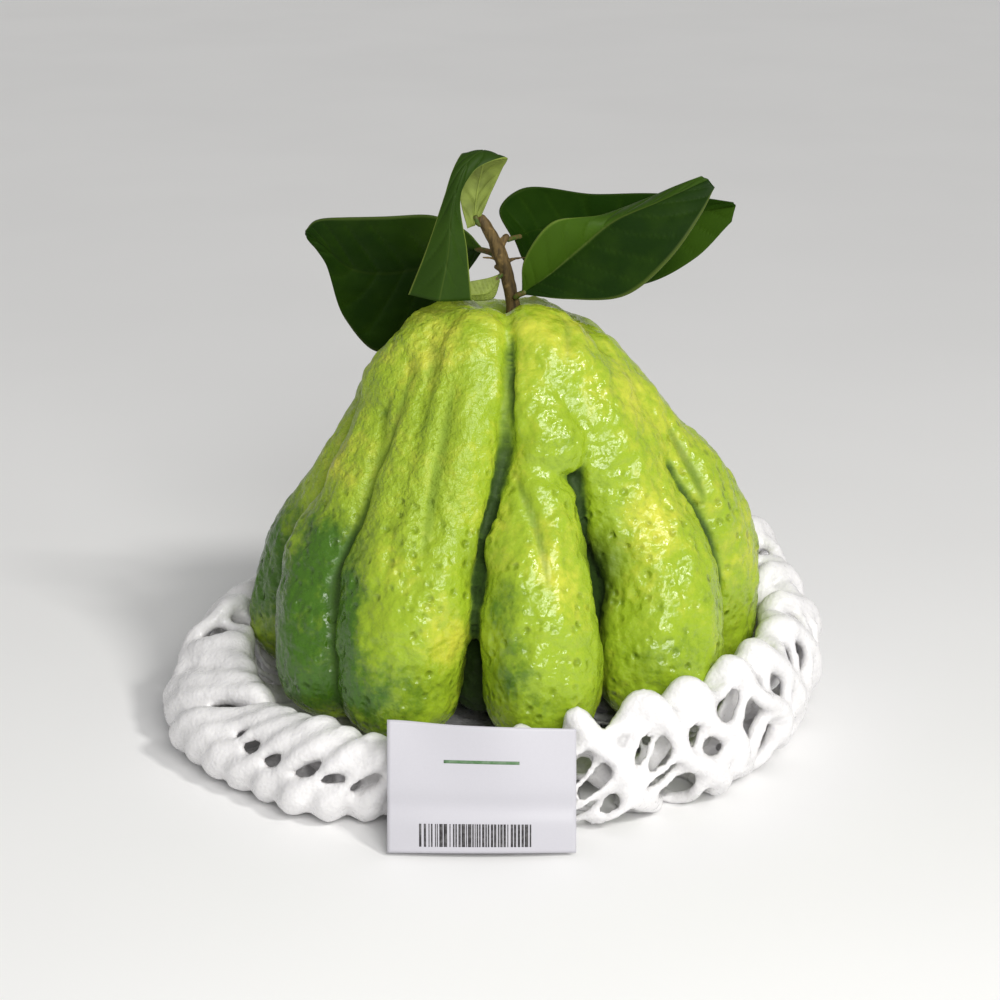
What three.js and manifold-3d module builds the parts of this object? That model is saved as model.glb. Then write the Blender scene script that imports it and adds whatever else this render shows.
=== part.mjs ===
// Buddha's hand citron with closed fingers, on its cut twig with five leaves,
// nested in a foam net sleeve that carries a price label.
// Millimetres, +Z up, the front is -Y, the underside is z = 0.

import * as THREE from 'three';
import { mergeVertices } from 'three/addons/utils/BufferGeometryUtils.js';
import Module from 'manifold-3d';

const wasm = await Module();
wasm.setup();

// ------------------------------------------------------------------ dimensions

const MERGE = 1e-4;              // vertices closer than this are one

// Fruit. A finger hangs from the crown: reach from the axis, height, share of its girth.
const CROWN_HEIGHT = 126.5;
const TIP_HEIGHT = 15.5;
const HANG = [
  { reach: 5, height: CROWN_HEIGHT - 3, girth: 0.70, turn: 'crown' },
  { reach: 16, height: CROWN_HEIGHT, girth: 0.77, turn: 'crown' },
  { reach: 27.5, height: 109.5, girth: 0.88, turn: 'shoulder' },
  { reach: 43, height: 80, girth: 0.96, turn: 'belly' },
  { reach: 55.5, height: 58, girth: 1.03, turn: 'belly' },
  { reach: 62, height: 37, girth: 1.02, turn: 'tip' },
  { reach: 61, height: TIP_HEIGHT, girth: 0.97, turn: 'tip' },
];

// The outer fingers: turns in degrees from the front towards +X, half thickness,
// and how far the crown drops or the reach grows against the common hang.
const FINGERS = [
  { crown: -112, shoulder: -104, belly: -93, tip: -91, girth: 18.9, drop: 2.5, grow: 2.2 },
  { crown: -84, shoulder: -78, belly: -63, tip: -56, girth: 18.8, drop: 1, grow: 1.5 },
  { crown: -58, shoulder: -48, belly: -37, tip: -33, girth: 17.5, drop: 0, grow: 0 },
  { crown: -30, shoulder: -24, belly: -26, tip: -29, girth: 18.2, drop: 0, grow: 0 },
  { crown: 36, shoulder: 48, belly: 56, tip: 49, girth: 19.8, drop: 0, grow: 0 },
  { crown: 116, shoulder: 119, belly: 121, tip: 122, girth: 20.5, drop: 7, grow: 0 },
  { crown: 152, shoulder: 154, belly: 157, tip: 158, girth: 21.0, drop: 6, grow: -1 },
  { crown: -168, shoulder: -168, belly: -167, tip: -166, girth: 20.5, drop: 6, grow: -1 },
  { crown: -140, shoulder: -138, belly: -131, tip: -128, girth: 20.0, drop: 5, grow: 0 },
];

// Two fingers with a line of their own: turn, reach, height, girth. The middle one at the front
// leaves the others half way down, and the right one swells out over the rim of the net.
const OWN_FINGERS = [
  [[13, 28, 106, 6], [13, 35, 97, 10.5], [12.5, 40.5, 86, 13], [10.5, 47.5, 73, 16], [9.5, 57, 54, 18.8],
    [10, 61.5, 37, 18.8], [11, 60, TIP_HEIGHT - 1, 15]],
  [[74, 6, 119, 12], [76, 17, 121, 14.5], [78, 28.5, 110.5, 16.6], [80, 41.6, 92.5, 17.1], [82, 56, 77, 17.8],
    [83, 62.5, 58, 19], [84, 62.4, 38, 19.2], [84, 61, TIP_HEIGHT, 18.5]],
];

// Low brows: two where the right shoulder divides below the stalk and one that fills the left of the crown.
const BROWS = [
  [[14, 4, 123, 8], [15, 14, 126.5, 9.8], [18, 26, 113.5, 13], [22, 35, 100, 14], [26, 40, 91, 11]],
  [[52, 5, 121, 10], [54, 17, 124.5, 12.5], [58, 30, 109, 15.5], [63, 43, 90, 14.5], [66, 49, 80, 10]],
  [[-72, 7, 122, 11], [-73, 19, 124.5, 15.2], [-74, 30, 111.5, 16], [-75, 38, 98, 13]],
];

// Short fingers tucked inside the ring: turn, reach, half thickness, tip height.
const INNER_FINGERS = [
  [-10, 34, 15, 15], [34, 37, 15, 17], [70, 36, 14, 19], [112, 33, 15, 18],
  [160, 34, 15, 16], [205, 34, 15, 18], [245, 36, 14, 19], [282, 36, 15, 17], [325, 37, 13, 18], [0, 0, 17, 16],
];
const INNER_TOP = 74;

// The flesh that joins the fingers, as a turned profile: radius, height.
const CORE = [[0, 27], [34, 28], [42, 40], [46, 60], [44, 80], [37, 100], [28, 118], [14, 128], [0, 130]];

const STALK_FOOT = new THREE.Vector3(2.6, 0, 129);
const STALK_PIT = { radius: 6.4, depth: 9 };

// Twig: points and half thickness up the stem.
const STEM = [
  [2.6, 0, 130, 3.4], [2.7, 0, 133, 2.5], [2.2, 0, 139, 2.1], [0.7, -0.2, 146.5, 2.1],
  [-1.8, -0.8, 154.5, 2.2], [-5, -1.8, 161.5, 1.9], [-8, -2.8, 166.4, 1.6],
];
const SPURS = [
  [[1.4, -0.2, 146.5, 1.1], [-1, -0.3, 148.7, 0.8], [-3.4, -0.3, 150.1, 0.6]],
  [[-0.2, -0.4, 151.5, 0.8], [-4, -0.4, 152.6, 0.5], [-7.2, -0.6, 152.9, 0.35]],
  [[-0.2, -0.4, 151.5, 0.8], [3.6, -0.6, 152.6, 0.5], [6.8, -0.8, 152.9, 0.35]],
  [[-2.2, -0.8, 156, 1.5], [-0.4, 0.4, 158.2, 1.3], [1.0, 1.4, 159.6, 0.9]],
];

// Leaves: two margins with the midrib between them, from the stalk end to the tip.
const BLADE_THICK = 0.9;
const LEAF_LEFT = {
  upper: [[-7.6, 12.4, 153.2], [-12, 12.5, 158], [-22, 12, 163], [-37.5, 11, 163], [-50, 11, 162.6],
    [-58.5, 11, 161.6], [-62.4, 11, 159.6]],
  midrib: [[-7.4, 12.8, 152.4], [-14, 17, 150], [-24, 22, 145], [-37, 25, 141.5], [-49, 24, 143],
    [-57.5, 16, 152.5], [-62.5, 11.6, 157.6]],
  lower: [[-7.2, 13.2, 151.6], [-12, 21, 143], [-23, 34, 126], [-41.5, 42, 110.5], [-52.5, 33, 124.5],
    [-57.5, 19, 147], [-62, 12.4, 154.4]],
  stalk: [[-1.2, 4.0, 150.6, 1.0], [-4, 8.5, 152, 1.0], [-9.4, 14.2, 152.2, 0.9]],
};
const LEAF_RIGHT_BACK = {
  upper: [[2.2, 7, 157.6], [-1.6, 13, 165], [5.6, 18, 170.6], [27.5, 24, 167.5], [48.5, 27, 167], [72.5, 25, 164.6]],
  midrib: [[3.2, 7.6, 157], [10, 17, 157.5], [26, 25, 156.5], [43, 28, 156.5], [59, 28, 160], [73.4, 25.4, 163.4]],
  lower: [[3.4, 7.6, 156], [7, 14, 147], [22, 20, 139.5], [44, 22, 138.5], [61, 23, 147], [72.2, 25, 158.4]],
  stalk: [[0.6, 3.5, 157.4, 0.95], [2.0, 5.6, 157.4, 0.95], [5.0, 9.6, 157.2, 0.85]],
};
const LEAF_RIGHT_FRONT = {
  upper: [[5.2, -4.6, 143.4], [5.8, -12, 155], [14, -17, 167.4], [30, -6, 167.4], [45, -7, 173.4], [58.6, -12, 180.6]],
  midrib: [[5.6, -4.8, 142.8], [13, -6, 148.4], [22.6, -8, 157.4], [32.5, -10, 166.4], [45.5, -12, 172.6], [60.8, -12.4, 179.6]],
  lower: [[5.9, -5, 142.2], [19, -12, 142.6], [36, -20, 145.8], [48.6, -22, 157], [58.8, -17, 170.6], [62.6, -12.8, 177.2]],
  stalk: [[2.8, -3.7, 140.6, 0.9], [3.9, -4.2, 141.8, 0.95], [6.6, -5.1, 143.2, 0.9]],
};
const LEAF_CURLED = {
  upper: [[-10.2, -3.5, 167], [-13.4, -3, 172.5], [-14.2, -3.5, 180.5], [-13, -8, 186.4],
    [-15.6, -12.5, 182.5], [-18.6, -14, 173.5], [-24, -14.5, 158], [-29.4, -14, 144.6]],
  midrib: [[-9, -3.8, 168.8], [-8.2, -2, 175], [-6.8, -2.4, 182], [-6.6, -8, 187.6],
    [-11.6, -13.4, 184.2], [-15.6, -16.4, 172.5], [-17.2, -18, 157.5], [-20, -18.5, 143.6]],
  lower: [[-8.2, -3.4, 168.5], [-4.2, -3, 175], [-1, -4, 181], [0.4, -8.6, 185.2],
    [-8.6, -13.2, 183], [-13.4, -14.4, 175.5], [-11.6, -15.8, 159], [-10.2, -15.5, 143.2]],
  stalk: [[-8.3, -2.9, 168.6, 0.9], [-8.5, -3.2, 169.9, 0.9], [-8.6, -3.0, 171.6, 0.8]],
};
const LEAF_SMALL = {
  upper: [[-2.0, -3.6, 148.2], [-5.5, -5.6, 147.6], [-11.2, -7.6, 147.0]],
  midrib: [[-1.9, -3.9, 147.1], [-5.6, -7.4, 143.6], [-11.4, -9.4, 143.4]],
  lower: [[-1.7, -3.7, 146.2], [-3.8, -6, 141.4], [-9.6, -7.6, 141]],
  stalk: [[-0.8, -3.0, 148.4, 0.7], [-1.8, -3.6, 147.6, 0.75], [-3.4, -4.6, 146.4, 0.6]],
};

// Foam net: round the sleeve from the front towards +X, in degrees:
// belly reach, belly height, crest reach, crest height.
const NET_TURNS = [
  { turn: 0, belly: 90.2, low: 11, crest: 84.6, high: 33 },
  { turn: 30, belly: 96.5, low: 13, crest: 86.5, high: 37 },
  { turn: 60, belly: 100, low: 19, crest: 87.5, high: 40 },
  { turn: 90, belly: 103.5, low: 28, crest: 88.5, high: 41 },
  { turn: 120, belly: 104.5, low: 32, crest: 91, high: 54 },
  { turn: 150, belly: 103, low: 28, crest: 90, high: 53 },
  { turn: 180, belly: 101, low: 20, crest: 88, high: 44 },
  { turn: 210, belly: 102, low: 14, crest: 87, high: 31 },
  { turn: 240, belly: 104, low: 11, crest: 89, high: 27 },
  { turn: 270, belly: 106.5, low: 11, crest: 88.5, high: 33.5 },
  { turn: 300, belly: 111.5, low: 9, crest: 86.5, high: 26 },
  { turn: 330, belly: 105.5, low: 9, crest: 85.5, high: 28.5 },
];
const NET_CELLS = 30;            // diamonds round the sleeve
const STRAND = 7.5;              // thickness of one foam strand
const STRAND_RELIEF = 2.0;       // how far a crossing stands out, and a cell sinks in
const NET_FLOOR = 13;            // height of the floor under the finger tips
const NET_FOOT = 10;             // how far the flat underside stays inside the belly
const NET_LINING = 82.9;         // reach of the inner wall round the fruit

// Price label, leaning on the front of the net.
const LABEL = { width: 54.6, height: 37, thick: 0.6, lean: 21, left: -34.2, front: -102.8, foot: 2 };

// ------------------------------------------------------------------ shared forms

const radians = THREE.MathUtils.degToRad;

/** A point at a turn from the front, a reach from the axis and a height. */
function around(turn, reach, height) {
  const angle = radians(turn);
  return new THREE.Vector3(reach * Math.sin(angle), -reach * Math.cos(angle), height);
}

/** Low swellings over the skin, as a height at a point. */
function swelling(p) {
  return Math.sin(p.x * 0.21 + p.z * 0.16) * Math.sin(p.y * 0.24 - p.z * 0.11)
    + 0.6 * Math.sin(p.z * 0.33 + p.x * 0.13 - p.y * 0.17);
}

/** Value between the stations' own at a place along them. */
function between(values, place) {
  const low = Math.min(Math.floor(place), values.length - 2);
  return THREE.MathUtils.lerp(values[low], values[low + 1], THREE.MathUtils.smoothstep(place - low, 0, 1));
}

/** Turns a three.js geometry into a solid that can be joined and cut. */
function solid(geometry) {
  geometry.deleteAttribute('normal');
  geometry.deleteAttribute('uv');
  const welded = mergeVertices(geometry, MERGE);
  return new wasm.Manifold(new wasm.Mesh({
    numProp: 3,
    vertProperties: new Float32Array(welded.attributes.position.array),
    triVerts: new Uint32Array(welded.index.array),
  }));
}

/** Makes a named mesh from a solid or a geometry. */
function piece(name, form, colour, roughness) {
  let geometry = form;
  if (form.getMesh) {
    const mesh = form.getMesh();
    geometry = new THREE.BufferGeometry();
    geometry.setAttribute('position', new THREE.BufferAttribute(new Float32Array(mesh.vertProperties), 3));
    geometry.setIndex(new THREE.BufferAttribute(new Uint32Array(mesh.triVerts), 1));
  }
  geometry.computeVertexNormals();
  const made = new THREE.Mesh(geometry, new THREE.MeshStandardMaterial({ color: colour, roughness }));
  made.name = name;
  return made;
}

/**
 * A rounded limb: a sphere drawn out along a smooth line through its stations.
 * Each station has a point `at` and a half thickness `girth`.
 */
function limb(stations, { facing, sides, rows, lump = 0 }) {
  const line = new THREE.CatmullRomCurve3(stations.map((s) => s.at), false, 'centripetal');
  const length = line.getLength();
  const girths = stations.map((s) => s.girth);
  const shape = new THREE.SphereGeometry(1, sides, rows);
  const place = shape.attributes.position;
  const vertex = new THREE.Vector3();
  for (let i = 0; i < place.count; i++) {
    vertex.fromBufferAttribute(place, i);
    const along = THREE.MathUtils.clamp((1 - vertex.y) / 2, 0, 1);
    const girth = between(girths, line.getUtoTmapping(along) * (stations.length - 1));
    const cap = Math.min(1, Math.min(along, 1 - along) * length / girth);
    const radius = girth * (1 - (1 - cap) ** 2.3) ** 0.47;
    const tangent = line.getTangentAt(along);
    const side = new THREE.Vector3().crossVectors(facing, tangent).normalize();
    const out = new THREE.Vector3().crossVectors(tangent, side);
    const ring = Math.hypot(vertex.x, vertex.z) || 1;
    const push = out.multiplyScalar(vertex.z / ring).addScaledVector(side, vertex.x / ring);
    const point = line.getPointAt(along).addScaledVector(push, radius);
    point.addScaledVector(push, lump * swelling(point) * radius / girth);
    place.setXYZ(i, point.x, point.y, point.z);
  }
  return solid(shape);
}

/** Stations from rows of turn, reach, height and girth. */
const roundStations = (rows) => rows.map(([turn, reach, height, girth]) => (
  { at: around(turn, reach, height), girth }));

/** Stations from rows of x, y, z and girth. */
const plainStations = (rows) => rows.map(([x, y, z, girth]) => (
  { at: new THREE.Vector3(x, y, z), girth }));

const joined = (solids) => solids.reduce((whole, next) => whole.add(next));

// ------------------------------------------------------------------ fruit

/** The direction a finger's back faces, well clear of its own line. */
const fingerFacing = (turn) => around(turn, 1, 0.84);

function outerFinger(finger) {
  const stations = HANG.map((hang) => {
    const high = (hang.height - TIP_HEIGHT) / (CROWN_HEIGHT - TIP_HEIGHT);
    return {
      at: around(finger[hang.turn], hang.reach + finger.grow * (1 - high), hang.height - finger.drop * high),
      girth: finger.girth * hang.girth,
    };
  });
  return limb(stations, { facing: fingerFacing(finger.shoulder), sides: 20, rows: 18, lump: 0.5 });
}

function innerFinger([turn, reach, girth, tip]) {
  const stations = [
    { at: around(turn, reach * 0.8, INNER_TOP), girth: girth * 0.9 },
    { at: around(turn, reach, (INNER_TOP + tip) / 2), girth },
    { at: around(turn, reach * 0.95, tip), girth: girth * 0.85 },
  ];
  return limb(stations, { facing: fingerFacing(turn), sides: 14, rows: 8 });
}

function fruit() {
  const core = solid(new THREE.LatheGeometry(
    CORE.map(([radius, height]) => new THREE.Vector2(radius, height)), 28).rotateX(Math.PI / 2));
  const own = OWN_FINGERS.map((finger) => limb(roundStations(finger),
    { facing: fingerFacing(finger[2][0]), sides: 20, rows: 18, lump: 0.5 }));
  const brows = BROWS.map((brow) => limb(roundStations(brow),
    { facing: fingerFacing(brow[2][0]), sides: 14, rows: 12, lump: 0.3 }));
  const flesh = joined([core, ...FINGERS.map(outerFinger), ...own, ...brows, ...INNER_FINGERS.map(innerFinger)]);
  const pit = solid(new THREE.SphereGeometry(1, 14, 8)
    .scale(STALK_PIT.radius, STALK_PIT.radius, STALK_PIT.depth)
    .translate(STALK_FOOT.x, STALK_FOOT.y, STALK_FOOT.z + STALK_PIT.depth));
  return flesh.subtract(pit);
}

// ------------------------------------------------------------------ twig and leaves

const UPRIGHT_FACING = new THREE.Vector3(0.15, -1, 0.1);

function twig() {
  const stem = limb(plainStations(STEM), { facing: UPRIGHT_FACING, sides: 12, rows: 14 });
  const spurs = SPURS.map((spur) => limb(plainStations(spur), { facing: UPRIGHT_FACING, sides: 8, rows: 6 }));
  return joined([stem, ...spurs]);
}

const rail = (points) => new THREE.CatmullRomCurve3(
  points.map(([x, y, z]) => new THREE.Vector3(x, y, z)), false, 'centripetal');

/** A closed blade between two margins and a midrib, split alike on both faces. */
function blade({ upper, midrib, lower }, along, across) {
  const rails = [rail(upper), rail(midrib), rail(lower)];
  const at = (u, w) => {
    const [edge, middle] = [rails[w < 0 ? 0 : 2].getPoint(u), rails[1].getPoint(u)];
    return middle.lerp(edge, Math.abs(w));
  };
  const step = 1e-3;
  const faces = [[], []];
  for (let row = 0; row <= along; row++) {
    for (let column = 0; column <= across; column++) {
      const u = row / along;
      const w = (column / across) * 2 - 1;
      const lengthwise = at(Math.min(u + step, 1), w).sub(at(Math.max(u - step, 0), w));
      const crosswise = at(u, Math.min(w + 0.25, 1)).sub(at(u, Math.max(w - 0.25, -1)));
      const normal = lengthwise.cross(crosswise).normalize().multiplyScalar(BLADE_THICK / 2);
      faces[0].push(at(u, w).add(normal));
      faces[1].push(at(u, w).sub(normal));
    }
  }
  const columns = across + 1;
  const count = columns * (along + 1);
  const index = [];
  const quad = (a, b, c, d) => index.push(a, b, c, a, c, d);
  for (let row = 0; row < along; row++) {
    for (let column = 0; column < across; column++) {
      const a = row * columns + column;
      index.push(a, a + columns, a + columns + 1, a, a + columns + 1, a + 1);
      index.push(count + a, count + a + columns + 1, count + a + columns);
      index.push(count + a, count + a + 1, count + a + columns + 1);
    }
    const [first, last] = [row * columns, row * columns + across];
    quad(first, count + first, count + first + columns, first + columns);
    quad(last, last + columns, count + last + columns, count + last);
  }
  for (let column = 0; column < across; column++) {
    const [near, far] = [column, along * columns + column];
    quad(near, near + 1, count + near + 1, count + near);
    quad(far, count + far, count + far + 1, far + 1);
  }
  const geometry = new THREE.BufferGeometry().setFromPoints([...faces[0], ...faces[1]]);
  geometry.setIndex(index);
  return solid(geometry);
}

function leaf(form, along = 14, across = 6) {
  const stalk = limb(plainStations(form.stalk), { facing: UPRIGHT_FACING, sides: 8, rows: 6 });
  return blade(form, along, across).add(stalk);
}

// ------------------------------------------------------------------ net and label

/** The net's measures at a turn, eased between the turns of the table. */
function netAt(turn) {
  const step = 360 / NET_TURNS.length;
  const place = ((turn % 360) + 360) % 360 / step;
  const low = Math.floor(place);
  const ease = THREE.MathUtils.smoothstep(place - low, 0, 1);
  const [a, b] = [NET_TURNS[low % NET_TURNS.length], NET_TURNS[(low + 1) % NET_TURNS.length]];
  const mix = (key) => THREE.MathUtils.lerp(a[key], b[key], ease);
  return { belly: mix('belly'), low: mix('low'), crest: mix('crest'), high: mix('high') };
}

/**
 * The sleeve's profile at a turn: reach, height, how much the strands stand out there,
 * and which way, in degrees up from straight outward.
 */
function netProfile(turn) {
  const { belly, low, crest, high } = netAt(turn);
  const foot = belly - NET_FOOT;
  const wall = [22.5, 45, 67.5, 90].map((angle) => [
    crest + (belly - crest) * Math.cos(radians(angle)) ** 0.85,
    low + (high - low) * Math.sin(radians(angle)) ** 0.85, 1, angle]);
  return [
    [0, 0, 0, -90], [foot, 0, 0, -90],
    [belly - NET_FOOT * 0.25, low * 0.35, 0.7, -40],
    [belly, low, 1, 0],
    ...wall,
    [Math.max(crest - STRAND * 0.7, NET_LINING + 1.2), high - STRAND * 0.45, 0.6, 150],
    [NET_LINING, (high + NET_FLOOR) / 2, 0, 180],
    [NET_LINING - 1, NET_FLOOR + 1, 0, 180],
    [NET_LINING - 10, NET_FLOOR, 0, 90],
    [0, NET_FLOOR, 0, 90],
  ];
}

/** The foam sleeve: crossings of the diagonal strands stand out, the cells between sink in. */
function foamNet() {
  const rows = netProfile(0).length - 1;
  const columns = NET_CELLS * 2;
  const isCrossing = (column, row) => (row + column) % 2 === 0;
  const sleeve = new THREE.LatheGeometry(
    netProfile(0).map(([reach, height]) => new THREE.Vector2(reach, height)), columns);
  const place = sleeve.attributes.position;
  for (let column = 0; column <= columns; column++) {
    const turn = (360 * (column % columns)) / columns;
    netProfile(turn).forEach(([reach, height, relief, angle], row) => {
      const bulge = (isCrossing(column, row) ? 1 : -1) * relief * STRAND_RELIEF;
      const [out, up] = [bulge * Math.cos(radians(angle)), bulge * Math.sin(radians(angle))];
      const point = around(turn, reach + out, height + up);
      place.setXYZ(column * (rows + 1) + row, point.x, point.y, point.z);
    });
  }
  // Each square is split along its strand, from crossing to crossing.
  const index = [];
  const onAxis = (corner) => [0, rows].includes(corner % (rows + 1));
  for (let column = 0; column < columns; column++) {
    for (let row = 0; row < rows; row++) {
      const a = column * (rows + 1) + row;
      const [b, c, d] = [a + rows + 1, a + rows + 2, a + 1];
      const halves = isCrossing(column, row) ? [[a, b, c], [a, c, d]] : [[a, b, d], [b, c, d]];
      halves.filter((half) => half.filter(onAxis).length < 2).forEach((half) => index.push(...half));
    }
  }
  sleeve.setIndex(index);
  return solid(sleeve);
}

/** A paper label, a little bowed, with a lifted top edge. */
function label() {
  const sheet = new THREE.BoxGeometry(LABEL.width, LABEL.thick, LABEL.height, 8, 1, 4);
  const place = sheet.attributes.position;
  for (let i = 0; i < place.count; i++) {
    const across = place.getX(i) / LABEL.width;
    const up = place.getZ(i) / LABEL.height + 0.5;
    const bow = 1.6 * Math.cos(Math.PI * across) + 0.8 * Math.sin(5 * across) * up;
    place.setY(i, place.getY(i) - bow);
    place.setZ(i, place.getZ(i) - 1.2 * across * up);
  }
  sheet.translate(LABEL.width / 2, 0, LABEL.height / 2);
  sheet.rotateX(-radians(LABEL.lean));
  sheet.translate(LABEL.left, LABEL.front, LABEL.foot);
  return solid(sheet);
}

// ------------------------------------------------------------------ the whole

const citron = new THREE.Group();
citron.name = 'buddhas_hand_citron';
citron.add(
  piece('fruit', fruit(), 0xa9c446, 0.45),
  piece('twig', twig(), 0x6e6642, 0.8),
  piece('leaf_left', leaf(LEAF_LEFT), 0x1d3108, 0.5),
  piece('leaf_curled', leaf(LEAF_CURLED, 18, 6), 0x375a28, 0.5),
  piece('leaf_right_back', leaf(LEAF_RIGHT_BACK), 0x14280a, 0.5),
  piece('leaf_right_front', leaf(LEAF_RIGHT_FRONT), 0x3d571a, 0.5),
  piece('leaf_small', leaf(LEAF_SMALL, 6, 4), 0x9fa54c, 0.6),
  piece('foam_net', foamNet(), 0xf1f1f3, 0.7),
  piece('label', label(), 0xe2e0e4, 0.6),
);

export default citron;
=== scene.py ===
"""Buddha's hand citron in a foam net sleeve: the finished model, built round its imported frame.

The file is laid out as an add-on and run as a script. Tables are in millimetres, turns are degrees
from the front towards +X, and every mesh is made in metres.
"""

import math
import random

import bpy
import numpy as np
from bpy.props import FloatProperty, FloatVectorProperty, IntProperty, PointerProperty
from bpy.types import Operator, Panel, PropertyGroup
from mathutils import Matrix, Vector, noise


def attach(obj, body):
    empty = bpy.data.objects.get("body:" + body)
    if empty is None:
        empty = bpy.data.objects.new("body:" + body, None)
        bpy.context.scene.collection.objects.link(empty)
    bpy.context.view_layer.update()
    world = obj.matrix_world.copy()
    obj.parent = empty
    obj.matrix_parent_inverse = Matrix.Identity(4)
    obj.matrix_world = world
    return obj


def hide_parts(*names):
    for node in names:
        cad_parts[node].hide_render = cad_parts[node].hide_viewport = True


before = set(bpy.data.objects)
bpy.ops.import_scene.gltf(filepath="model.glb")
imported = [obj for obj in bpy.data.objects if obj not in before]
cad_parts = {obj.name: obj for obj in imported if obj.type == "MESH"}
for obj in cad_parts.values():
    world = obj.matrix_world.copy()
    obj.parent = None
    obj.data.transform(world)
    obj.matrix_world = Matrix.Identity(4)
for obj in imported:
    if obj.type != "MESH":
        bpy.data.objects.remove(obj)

bl_info = {
    "name": "Buddha's hand citron in a foam net",
    "version": (1, 0, 0),
    "blender": (4, 5, 0),
    "location": "3D View > Sidebar > Citron",
    "description": "Fingered citron on its twig with leaves, in a foam net sleeve with a price label",
    "category": "Object",
}

MM = 0.001
BODY = "root"

# ------------------------------------------------------------------ the fruit's measures

CROWN_HEIGHT = 126.5
TIP_HEIGHT = 15.5
# A finger hangs from the crown: reach from the axis, height, share of its girth, which turn it takes.
HANG = (
    (5, CROWN_HEIGHT - 3, 0.70, "crown"),
    (16, CROWN_HEIGHT, 0.77, "crown"),
    (27.5, 109.5, 0.88, "shoulder"),
    (43, 80, 0.96, "belly"),
    (55.5, 58, 1.03, "belly"),
    (62, 37, 1.02, "tip"),
    (61, TIP_HEIGHT, 0.97, "tip"),
)
# The outer fingers: crown, shoulder, belly and tip turns, half thickness, crown drop, growth of reach.
FINGERS = (
    (-112, -104, -93, -91, 18.9, 2.5, 2.2),
    (-84, -78, -63, -56, 18.8, 1, 1.5),
    (-58, -48, -37, -33, 17.5, 0, 0),
    (-30, -24.5, -27.4, -30, 17.8, 0, 0),
    (36, 48, 56, 49, 19.8, 0, 0),
    (116, 119, 121, 122, 20.5, 7, 0),
    (152, 154, 157, 158, 21.0, 6, -1),
    (-168, -168, -167, -166, 20.5, 6, -1),
    (-140, -138, -131, -128, 20.0, 5, 0),
)
# Two fingers with a line of their own: turn, reach, height, half thickness. The middle one at the front
# leaves the others half way down, and the right one swells out over the rim of the net.
OWN_FINGERS = (
    ((13, 28, 106, 6), (13, 35, 97, 10.5), (12.5, 40.5, 86, 13), (10.5, 47.5, 73, 16), (10, 57, 54, 18.2),
     (10.5, 61.5, 37, 18.2), (11.5, 60, TIP_HEIGHT - 1, 14.5)),
    ((74, 6, 119, 12), (76, 17, 121, 14.5), (78, 28.5, 110.5, 16.6), (80, 41.6, 92.5, 17.1),
     (82, 56, 77, 17.8), (83, 62.5, 58, 19), (84, 62.4, 38, 19.2), (84, 61, TIP_HEIGHT, 18.5)),
)
# Low brows: two where the right shoulder divides below the stalk, one that fills the left of the crown.
BROWS = (
    ((14, 4, 123, 8), (15, 14, 126.5, 9.8), (18, 26, 113.5, 13), (22, 35, 100, 14), (26, 40, 91, 11)),
    ((52, 5, 121, 10), (54, 17, 124.5, 12.5), (58, 30, 109, 15.5), (63, 43, 90, 14.5), (66, 49, 80, 10)),
    ((-72, 7, 122, 11), (-73, 19, 124.5, 15.2), (-74, 30, 111.5, 16), (-75, 38, 98, 13)),
)
# Short fingers tucked inside the ring: turn, reach, half thickness, tip height.
INNER_FINGERS = (
    (-10, 34, 15, 15), (34, 37, 15, 17), (70, 36, 14, 19), (112, 33, 15, 18), (160, 34, 15, 16),
    (205, 34, 15, 18), (245, 36, 14, 19), (282, 36, 15, 17), (325, 37, 13, 18), (0, 0, 17, 16),
)
INNER_TOP = 74
# The flesh that joins the fingers, round the axis: height and half thickness.
CORE = ((40, 14), (55, 38), (78, 40), (98, 30), (114, 18), (122, 10))
# The pit that the stalk stands in, pressed into all that is above a height.
PIT_MIDDLE, PIT_WIDTH, PIT_DEPTH, PIT_ABOVE = (2.6, 0.0), 6.0, 5.5, 100

# Furrows pressed into the peel: half width, depth, how dark their painted shade is, then turns and heights
# down the line.
FURROWS = (
    (3.0, 2.4, 0.52, ((-28, 131), (-25, 118), (-23.5, 105), (-23.5, 92), (-22.5, 82), (-22.5, 70))),
    (2.2, 1.1, 0.48, ((-52, 134), (-42, 127), (-38, 118))),
    (2.3, 1.7, 0.54, ((-56, 126), (-50, 119), (-49, 107), (-50, 95), (-50, 83))),
    (2.3, 1.7, 0.54, ((1, 102), (5, 95), (9, 86), (10.5, 76), (11, 62))),
    (1.7, 1.6, 0.46, ((56, 139), (46, 137), (36, 132), (30, 126))),
    (1.3, 1.9, 0.90, ((5.5, 137), (3.5, 130), (2.6, 122.8), (2.4, 115), (2.6, 105))),
    (2.0, 1.3, 0.60, ((74, 108), (71, 98), (69.5, 88), (68, 76))),
    (1.2, 0.8, 0.50, ((118, 100), (120, 84), (122, 66))),
    (1.2, 0.8, 0.50, ((160, 104), (158, 88), (156, 70))),
    (1.2, 0.8, 0.50, ((-150, 100), (-146, 84), (-142, 66))),
)
# No furrow is cut nearer to the axis than this.
FURROW_REACH = 12
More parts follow.
